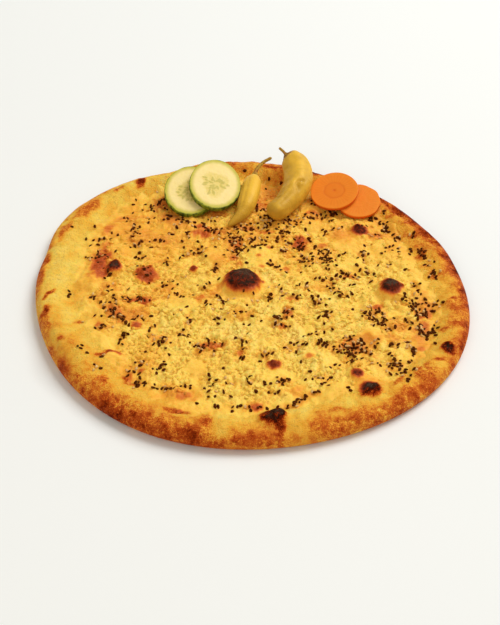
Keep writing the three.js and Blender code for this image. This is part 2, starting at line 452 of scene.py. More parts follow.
class Recipe:
    """The node tree of one material."""

    def __init__(self, name: str) -> None:
        """Starts an empty material.

        Args:
            name: the material's name.
        """
        self.material = bpy.data.materials.new(name)
        self.material.use_nodes = True
        self.tree = self.material.node_tree
        self.tree.nodes.clear()
        self.place = self.node("ShaderNodeTexCoord", {}, {}, "Object")

    def node(self, kind: str, settings: dict, sockets: dict, out: str | int = 0) -> Socket:
        """Adds a node.

        Args:
            kind: the node's type.
            settings: its properties, set first; "stops" holds a ramp's places and colours.
            sockets: values or links by the name or number of the input.
            out: the name or number of the output that is wanted.

        Returns:
            That output.
        """
        made = self.tree.nodes.new(kind)
        for name, value in settings.items():
            if name == "stops":
                self.set_stops(made.color_ramp, value)
            else:
                setattr(made, name, value)
        for name, value in sockets.items():
            if isinstance(value, Socket):
                self.tree.links.new(value.link, made.inputs[name])
            else:
                made.inputs[name].default_value = value
        return Socket(self, made.outputs[out])

    @staticmethod
    def set_stops(ramp: bpy.types.ColorRamp, stops: list[tuple[float, Tone]]) -> None:
        """Gives a ramp its places and colours.

        Args:
            ramp: the ramp.
            stops: its places and colours.
        """
        for place, _ in stops[len(ramp.elements) :]:
            ramp.elements.new(place)
        for element, (place, colour) in zip(ramp.elements, stops):
            element.position = place
            element.color = colour

    def math(self, operation: str, first: Socket | float, second: Socket | float) -> Socket:
        """A Math node on two values."""
        return self.node("ShaderNodeMath", {"operation": operation}, {0: first, 1: second})

    def marks(self, *names: str) -> list[Socket]:
        """The numbers that the mesh carries under these names."""
        kind = "ShaderNodeAttribute"
        return [self.node(kind, {"attribute_name": name}, {}, "Fac") for name in names]

    def noise(self, size: float, detail: float = 2.0, rough: float = 0.5) -> Socket:
        """Noise from 0 to 1 whose swells are about size mm across."""
        sockets = {"Vector": self.place, "Scale": 1.0 / (size * MM), "Detail": detail}
        return self.node("ShaderNodeTexNoise", {}, sockets | {"Roughness": rough}, "Fac")

    def swing(self, size: float, detail: float = 2.0, rough: float = 0.5) -> Socket:
        """The same noise from -0.5 to 0.5."""
        return self.noise(size, detail, rough) - 0.5

    def ramp(self, value: Socket, stops: list[tuple[float, Tone]]) -> Socket:
        """The colour of a value on a ramp."""
        return self.node("ShaderNodeValToRGB", {"stops": stops}, {"Fac": value}, "Color")

    def mix(self, share: Socket | float, first: Socket | Tone, second: Socket | Tone) -> Socket:
        """Two colours mixed by a share."""
        return self.node("ShaderNodeMix", {"data_type": "RGBA"}, {0: share, 6: first, 7: second}, 2)

    def bump(self, height: Socket, depth: float) -> Socket:
        """A normal bent by a height from 0 to 1 that stands for depth mm."""
        return self.node("ShaderNodeBump", {}, {"Height": height, "Distance": depth * MM}, "Normal")

    def baked(self, bake: Socket, heat: Socket, pits: Socket, fleck: Socket) -> Socket:
        """The colour of dough or cheese: its bake, painted shade in tan in the hollows, and ashen
        flecks on charcoal.

        Args:
            bake: how far the heat went, from 0 to 1.
            heat: the same, made uneven.
            pits: the share of tan painted as shade in each pit and crease.
            fleck: fine noise round 0.

        Returns:
            The colour.
        """
        colour = self.mix(pits, self.ramp(heat, BAKE_STOPS), PIT_TAN)
        ash = bake.step(0.8, 0.95) * (fleck + 0.5).step(0.3, 0.7)
        return self.mix(ash * 0.5, colour, ASH)

    def finish(self, sockets: dict, soft: float = 0.0, soak: tuple = SOAK) -> bpy.types.Material:
        """Ends the tree in a Principled shader.

        Args:
            sockets: values or links of the shader's inputs.
            soft: the share of the light that goes in and comes out again.
            soak: how far red, green and blue light go in, in metres.

        Returns:
            The finished material.
        """
        if soft:
            inside = {"Subsurface Weight": soft, "Subsurface Radius": soak, "Subsurface Scale": 1.0}
            sockets = sockets | inside
        shader = self.node("ShaderNodeBsdfPrincipled", {}, sockets)
        output = self.tree.nodes.new("ShaderNodeOutputMaterial")
        self.tree.links.new(shader.link, output.inputs["Surface"])
        return self.material


@dataclass(frozen=True)
class DoughFinish:
    """Baked dough: mottled, browned by its bake, with painted shade in tan in each pit, dusted with
    flour low down.
    """

    name: str = "baked_dough_finish"
    blotch: float = 15.0
    mottle: float = 5.5
    grain: float = 2.2
    pore: float = 0.8

    def make(self) -> bpy.types.Material:
        """Builds the material.

        Returns:
            The finished material.
        """
        recipe = Recipe(self.name)
        bake, flour = recipe.marks("bake", "flour")
        blotch = recipe.swing(self.blotch, 3.0)
        mottle = recipe.swing(self.mottle, 3.0, 0.6)
        grain = recipe.swing(self.grain, 3.0, 0.65)
        pore = recipe.swing(self.pore)
        ragged = 0.4 + bake.step(0.15, 0.5) * 0.9 + bake.step(0.7, 0.9) * 1.1
        spread = blotch * 0.4 + mottle * 0.5 + grain * 0.4 + pore * 0.5
        dust = flour * (grain + blotch + pore * 1.4 + 0.5).step(0.62, 0.8)
        heat = bake + spread * ragged - dust * 0.16
        # Painted shade: tan in each pit, where the fine noise that also drives the bump is low, on
        # paler dough.
        pits = (grain + pore * 0.8).step(0.0, -0.25) * 0.45 * bake.step(0.4, 0.2)
        height = recipe.noise(self.grain, 4.0, 0.65) + mottle + pore * 0.9
        return recipe.finish(
            {
                "Base Color": recipe.baked(bake, heat, pits, grain + pore),
                "Roughness": 0.55 + dust * 0.3 + bake.step(0.6, 0.9) * 0.4,
                "Specular IOR Level": 0.06,
                "Specular Tint": WARM_SHEEN,
                "Normal": recipe.bump(height, 1.3),
            },
            soft=0.4,
        )


@dataclass(frozen=True)
class CheeseFinish:
    """Baked crumbly cheese: pale lumps with painted shade, tan and amber, in the creases between
    them, toasted in patches.
    """

    name: str = "baked_cheese_finish"
    blotch: float = 11.0
    curd: float = 4.2
    grain: float = 1.7
    fleck: float = 0.7

    def make(self) -> bpy.types.Material:
        """Builds the material.

        Returns:
            The finished material.
        """
        recipe = Recipe(self.name)
        bake, lump, curdy = recipe.marks("bake", "lump", "curdy")
        blotch = recipe.swing(self.blotch, 3.0)
        curd = recipe.swing(self.curd, 2.0, 0.6)
        grain = recipe.swing(self.grain, 3.0, 0.6)
        fleck = recipe.swing(self.fleck)
        toasted = bake.step(0.2, 0.5)
        # Painted shade: more heat, so amber, low between the lumps and in the hollows of the curd
        # bump.
        creased = curdy * ((0.5 - lump) * 0.1 - curd * 0.1)
        charred = (curd * 0.8 + grain * 0.5) * bake.step(0.65, 0.9)
        heat = bake + creased + blotch * 0.1 + grain * (toasted * 0.34 - 0.04) + charred
        # Painted shade: tan in the creases and hollows of the lumps and curds, away from toasted
        # spots.
        pits = ((0.5 - lump) * 0.5 - curd * 0.5 - grain - fleck * 0.6).step(-0.1, 0.3)
        pits = pits * curdy * (1.0 - toasted) * 0.7
        height = grain * 0.5 + fleck * 0.3 + curdy * curd * 1.6
        return recipe.finish(
            {
                "Base Color": recipe.baked(bake, heat, pits, grain + fleck),
                "Roughness": 0.42 + bake.step(0.55, 0.85) * 0.5,
                "Specular IOR Level": 0.28,
                "Specular Tint": (1.0, 0.78, 0.5, 1.0),
                "Normal": recipe.bump(height, 1.0),
            },
            soft=0.4,
        )


@dataclass(frozen=True)
class SeedFinish:
    """A seed coat of one colour with a paler bloom."""

    name: str
    dark: str
    light: str
    rough: float

    def make(self) -> bpy.types.Material:
        """Builds the material.

        Returns:
            The finished material.
        """
        recipe = Recipe(self.name)
        stops = [(0.35, tone(self.dark)), (0.75, tone(self.light))]
        return recipe.finish(
            {
                "Base Color": recipe.ramp(recipe.noise(1.1), stops),
                "Roughness": self.rough,
                "Specular IOR Level": 0.06,
                "Specular Tint": WARM_SHEEN,
                "Normal": recipe.bump(recipe.noise(0.4, 1.0), 0.15),
            }
        )


@dataclass(frozen=True)
class CucumberFinish:
    """Cut cucumber: pale flesh, a wetter core with seeds, a green rind and dark skin."""

    name: str = "cucumber_finish"

    def make(self) -> bpy.types.Material:
        """Builds the material.

        Returns:
            The finished material.
        """
        recipe = Recipe(self.name)
        core, seed, rind, skin = recipe.marks("core", "seed", "rind", "skin")
        cloud = recipe.noise(5.0, 3.0)
        fibre = recipe.noise(1.5, 3.0)
        flesh = recipe.mix(cloud, tone("fce8a4"), tone("f5dc90"))
        colour = recipe.mix(core * fibre, flesh, tone("dcc658"))
        colour = recipe.mix(seed * 0.5, colour, tone("aaa43e"))
        colour = recipe.mix(rind, colour, tone("bcb62a"))
        peel = recipe.mix(recipe.noise(3.0, 3.0).step(0.35, 0.65), tone("3c4a0e"), tone("869420"))
        colour = recipe.mix(skin, colour, peel)
        return recipe.finish(
            {
                "Base Color": colour,
                "Roughness": 0.42 + skin * 0.06,
                "Specular IOR Level": 0.2,
                "Normal": recipe.bump(fibre, 0.08),
            },
            soft=0.2,
            soak=(0.003, 0.003, 0.0012),
        )


@dataclass(frozen=True)
class CarrotFinish:
    """Cut carrot: an orange ring round a deeper core, with fine rays between them."""

    name: str = "carrot_finish"

    def make(self) -> bpy.types.Material:
        """Builds the material.

        Returns:
            The finished material.
        """
        recipe = Recipe(self.name)
        core, seam, peel = recipe.marks("core", "seam", "peel")
        cloud = recipe.noise(4.0, 3.0)
        flesh = recipe.mix(cloud, tone("ee8c28"), tone("e88222"))
        colour = recipe.mix(core * 0.35, flesh, tone("dc6e1a"))
        colour = recipe.mix(seam * 0.7, colour, tone("cc5614"))
        colour = recipe.mix(peel, colour, tone("dc5e12"))
        return recipe.finish(
            {
                "Base Color": colour,
                "Roughness": 0.42 + 0.1 * cloud,
                "Specular IOR Level": 0.12,
                "Normal": recipe.bump(recipe.noise(1.0, 3.0), 0.1),
            },
            soft=0.15,
            soak=(0.003, 0.0014, 0.0006),
        )


@dataclass(frozen=True)
class PepperFinish:
    """Pickled pepper: satin, tan to yellow as it ripened, painted shade in brown in its creases and
    dents, and brown at its stem.
    """

    name: str = "pickled_pepper_finish"

    def make(self) -> bpy.types.Material:
        """Builds the material.

        Returns:
            The finished material.
        """
        recipe = Recipe(self.name)
        shade, stalk, ripe = recipe.marks("shade", "stalk", "ripe")
        cloud = recipe.noise(7.0, 3.0)
        fine = recipe.noise(1.6, 3.0)
        zone = (ripe + (cloud - 0.5) * 0.9).step(0.15, 0.85)
        colour = recipe.mix(zone, tone("c4962c"), tone("ecbc3c"))
        # Painted shade: brown in the creases and dents, by the shade mark.
        colour = recipe.mix(shade * 0.75, colour, tone("94681a"))
        wood = recipe.mix(fine.step(0.3, 0.7), tone("c0a038"), tone("906020"))
        husk = recipe.mix(fine.step(0.3, 0.7), tone("b07a30"), tone("7c4418"))
        colour = recipe.mix(stalk.step(0.0, 0.5), colour, husk)
        colour = recipe.mix(stalk.step(0.7, 1.0), colour, wood)
        return recipe.finish(
            {
                "Base Color": colour,
                "Roughness": 0.4 + stalk * 0.2 + 0.1 * fine,
                "Specular IOR Level": 0.3,
                "Specular Tint": (1.0, 0.85, 0.6, 1.0),
                "Normal": recipe.bump(fine + cloud, 0.35),
            },
            soft=0.15,
            soak=(0.004, 0.003, 0.001),
        )


# ---------------------------------------------------------------- the bread's form


@dataclass(frozen=True)
class Blister:
    """A dome in the dough.

    Its middle, radius and height are in mm. A lower sharpness gives steeper sides. Char is how far
    the heat went on its cap, whose size is a share of the radius and which lies cap_x and cap_y
    off the middle. Bare is how far round it the cheese melted smooth.
    """

    x: float
    y: float
    radius: float
    height: float
    sharpness: float = 1.4
    char: float = 0.0
    cap: float = 0.6
    cap_x: float = 0.0
    cap_y: float = 0.0
    bare: float = 0.0


@dataclass(frozen=True)
class Toast:
    """A toasted patch: its middle, its half length and half width in mm, its turn and its bake."""

    x: float
    y: float
    half_length: float
    half_width: float
    turn: float
    bake: float


# Blisters whose caps browned or charred, as the fields of Blister.
BLISTER_ROWS = (
    (-4, -1.5, 20, 4.8, 1.2), (-4.2, -1.5, 15.5, 5.8, 0.55, 0.85, 0.86, 0.4, 0.4, 26),
    (108.0, -9.0, 13, 8.6, 0.8, 0.84, 0.64, 0.2, -0.8, 15),
    (16.5, -141, 10.5, 5.5, 0.9, 0.86, 0.62, 0.0, -1.0, 13),
    (22.5, -139.5, 7.5, 3.5, 0.7, 0.86, 0.5), (86, -113.5, 12, 5, 1.1, 0.82, 0.62, -1.0, -2.5, 14),
    (77, -100, 8, 3.5, 1.0, 0.76, 0.56), (19, -89.5, 9, 3, 1.1, 0.68, 0.55),
    (-77.5, 9.5, 13, 2.5, 1.2, 0.55, 0.7), (-103, 18.5, 8.5, 4, 1.0, 0.9, 0.62),
    (-42, 17, 5, 2, 1.2, 0.7, 0.7), (90, 63.5, 10, 4, 1.0, 0.8, 0.6),
    (144, -74, 9, 3.5, 1.1, 0.86, 0.62),
)

# Plain mounds: the first five fields of Blister, and bare.
MOUND_ROWS = (
    (-116, -72, 34, 4, 1.3, 32), (-98, -85, 12, 3.4, 0.9, 11), (12, 30, 19, 3.4, 1.0, 18),
    (92, -57, 13, 2.6, 1.0, 11), (45, -79, 9, 2.6, 1.0, 7), (55, 96, 14, 4.5, 1.0, 13),
    (54, 72, 10, 2.2, 1.1, 10), (80, 50, 16, 2.2, 1.1, 16), (82, 22, 12, 2.0, 1.1, 12),
    (-50, -22, 14, 2.6, 1.1, 12), (-37, -89, 12, 2.2, 1.1, 11), (-26, 33, 13, 2.6, 1.1, 12),
    (-118, 3, 13, 2.4, 1.1, 13), (-92, 40, 9, 1.8, 1.1, 9), (20, -99, 14, 1.8, 1.2, 12),
    (103, 40, 12, 1.8, 1.2, 11), (100, -17, 10, 2.4, 1.1, 9), (-60, 78, 12, 1.8, 1.2, 12),
    (62, -118, 16, 2.0, 1.2, 15),
    # The cucumber, the small pepper and the carrot lean on these.
    (-46, 120, 24, 9.0, 1.4, 0), (-15, 119, 20, 12.0, 1.4, 0), (6, 123, 13, 5.0, 1.4, 0),
    (68, 112, 18, 8.5, 1.4, 0),
    # Between the toasted stretches of the front rim.
    (-12, -146, 14, 1.8, 1.2, 0), (36, -144, 12, 1.8, 1.2, 0),
)
BLISTERS = tuple(Blister(*row) for row in BLISTER_ROWS)
BLISTERS += tuple(Blister(*row, bare=bare) for *row, bare in MOUND_ROWS)

TOAST_ROWS = (
    # Charcoal on the caps of the four largest blisters.
    (-2.5, 1.8, 12.2, 11, 0, 0.94), (108.6, -8, 8, 7, 0, 1.0), (17, -142.5, 7, 5.5, 0, 0.93),
    (22, -141, 4.5, 4, 0, 0.93), (22.5, -148, 3.2, 5.5, 0, 0.66), (86, -112, 7, 4.5, 0, 1.0),
    # On the floor, from the back to the front.
    (-113, 70, 7, 4, 75, 0.42), (-101, 83, 9, 4, 25, 0.34), (-36, 71, 8, 3, -25, 0.5),
    (-72, 104, 6, 11, -10, 0.4), (-62, 80, 12, 6, -30, 0.36), (8, 100, 8, 10, 0, 0.38),
    (-26, 86, 11, 6, 10, 0.38), (-24, 62, 16, 9, -10, 0.33), (-86, 58, 12, 9, 0, 0.32),
    (76, 60, 13, 9, -10, 0.33), (112, -46, 12, 9, 0, 0.32), (106, -60, 12, 8, 0, 0.3),
    (-84, -35, 15, 11, 0, 0.32), (-5, -36, 12, 8, 0, 0.29), (-20, 28, 10, 8, 0, 0.29),
    (-27, -11, 8, 9, 0, 0.31), (-61, -5, 9, 7, 0, 0.3), (-103, -5, 9, 9, 0, 0.3),
    (56, -4, 9, 7, 0, 0.28), (88, -62, 9, 9, 0, 0.33), (126, -62, 8, 10, 0, 0.33),
    (-50, -116, 18, 9, 0, 0.29), (34, -115, 10, 8, 0, 0.3), (86, -108, 14, 8, 0, 0.28),
    (133, -26, 8, 10, 0, 0.34), (-35, 62, 8, 5, -10, 0.5), (-115, 25, 20, 7, 80, 0.56),
    (-111, 14, 9, 5, 60, 0.54), (42, 50, 9, 6, 100, 0.56), (0, 66, 9, 4, -10, 0.42),
    (16, 62, 6, 3, 0, 0.42), (-10, 48, 6, 8, 0, 0.42), (-10, 31, 3, 3, 0, 0.46),
    (8, 31, 2.4, 2.2, 0, 0.44), (11, 20, 3, 2.4, 0, 0.4), (-7, 24, 3.5, 3, 0, 0.38),
    (19, 42, 3.6, 2.6, 0, 0.42), (31, 18, 3, 4, 0, 0.42), (60, 47, 4, 3, 0, 0.4),
    (54, 88, 6, 3, 0, 0.4), (103, 60, 8, 5, 20, 0.38), (91, 33, 3, 2, 0, 0.42),
    (79, 8, 5, 3, -20, 0.42), (136, 37, 6, 4, 80, 0.48), (143, 8, 5, 4, 60, 0.4),
    (-21, -3, 4, 6, 10, 0.32), (-3, -12, 21, 13, 0, 0.18), (110, -16, 13, 9, 0, 0.18),
    (-36, -17, 5, 4, 0, 0.4), (-80.5, -19, 9, 5, -10, 0.56), (-81, -49, 4, 3.5, 0, 0.58),
    (-98, -33, 12, 6, -50, 0.42), (-109, -47, 3, 4, 0, 0.44), (33, -21, 6, 4, 0, 0.38),
    (30, -37, 4, 6, 0, 0.42), (25, -50, 6, 3, 0, 0.44), (97, -27, 6, 2.4, 20, 0.46),
    (132, -33, 7, 5, 30, 0.44), (129, -47, 5, 8, 0, 0.42), (-24, -68, 12, 4, 0, 0.44),
    (-5, -77, 3, 4, 0, 0.42), (76, -70, 12, 7, -20, 0.38), (45, -82, 4, 3, 0, 0.42),
    (124, -71, 3, 3, 0, 0.42), (-75, -94, 3, 3, 0, 0.46), (-84, -102, 4, 6, 0, 0.46),
    (-42, -119, 8, 4, -10, 0.42), (6, -130, 5, 3, 0, 0.5),
    # A dark crescent on the far side of a mound at the left.
    (-104, -80, 4.5, 2.4, 40, 0.62), (-98, -77, 5, 2.4, 0, 0.62), (-92, -79, 4, 2.2, -40, 0.5),
    # On the rim, from the right round to the back.
    (156, -31, 7, 6, 80, 0.44), (156, -20, 5, 2, 20, 0.54), (155, 33, 6, 5, 60, 0.54),
    (145, 50, 11, 2, -60, 0.54), (131, 73, 14, 1.8, -54, 0.46), (117, 93, 9, 1.8, -52, 0.54),
    (138, 66, 18, 4, -56, 0.4), (24, 146, 9, 2, -14, 0.6), (3, 149, 3, 2, 0, 0.5),
    (18, 118, 11, 24, 0, 0.3), (-90, 128, 6, 5, 60, 0.7), (-108, 119, 5, 2, 50, 0.46),
    (-133, 92, 17, 6, 52, 0.42), (-147, 64, 13, 5, 72, 0.45), (-157, 28, 8, 3, 85, 0.54),
    (-160, 8, 13, 4, 90, 0.44), (-148, -14, 5, 2, 50, 0.5), (-151, -20, 3, 2, 50, 0.6),
    (-150, -36, 6, 3.4, 85, 0.66), (-147, -50, 12, 3, 105, 0.44), (-125, -43, 3, 4, 0, 0.44),
    (-135, -68, 3, 3, 0, 0.44), (-114, -103, 5, 3, 0, 0.46), (-101, -107, 4, 6, 0, 0.44),
    (-96, -123, 8, 5, -30, 0.46), (-91, -132, 8, 5, -30, 0.46), (-78, -137, 4, 2.6, -25, 0.66),
    (-71, -142, 18, 7, -24, 0.46), (-50, -146, 10, 5, -20, 0.36), (-48, -134, 10, 3, -15, 0.48),
    (-28, -145, 5, 8, 0, 0.44), (-44, -157, 13, 4, -12, 0.44), (-24, -160, 14, 4.5, -5, 0.48),
    (-2, -162, 14, 4, 0, 0.42), (13, -160, 16, 4.5, 0, 0.44), (22, -151, 9, 3, 102, 0.58),
    (54, -150, 13, 8, 10, 0.42), (74, -145, 17, 9, 22, 0.44), (62, -156, 11, 4, 14, 0.54),
    (94, -138, 14, 8, 32, 0.42), (110, -121, 12, 8, 46, 0.42), (58, -136, 12, 4, 5, 0.36),
    (105, -106, 8, 2.4, 50, 0.44), (128, -97, 10, 8, 40, 0.48), (128, -106, 6, 4, 50, 0.54),
    (123, -94, 6, 1.6, 60, 0.54), (138, -85, 4, 2, 20, 0.52), (145, -52, 4, 4, 0, 0.44),
    (152, -70, 16, 3, 70, 0.42),
)
TOASTS = tuple(Toast(*row) for row in TOAST_ROWS)

# Folds of the dough: a line from one end to the other, how deep it is and how wide.
FOLDS = (
    (108, 104, 124, 84, 1.6, 2.2),
    (124, 84, 150, 46, 1.8, 2.4),
    (-158, 44, -144, 55, 1.4, 2.2),
    (-129, 56, -127, 18, 0.7, 2.0),
    (-121, -52, -109, -53, 0.8, 1.6),
    (-109, -53, -94, -72, 1.0, 1.6),
    (138, -66, 148, -78, 1.6, 2.4),
    (118, 20, 128, -4, 0.7, 2.4),
    (-66, -134, -24, -139, 0.7, 2.2),
)

# Where along the rim it browned more or less: the middle of the stretch in degrees, how much more,
# how many mm further in, and the width of the stretch in degrees.
RIM_BROWNING = (
    (272.0, 0.05, 2.0, 52.0),
    (304.0, 0.04, 2.0, 14.0),
    (4.0, 0.14, 2.0, 25.0),
    (38.0, 0.2, 4.0, 26.0),
    (90.0, 0.14, 0.0, 32.0),
    (142.0, 0.02, -1.5, 26.0),
    (188.0, 0.0, -3.0, 30.0),
    (240.0, 0.05, 3.0, 14.0),
    (287.0, -0.12, -2.5, 13.0),
    (264.0, -0.06, -3.0, 5.0),
    (283.0, -0.06, -3.0, 4.5),
)


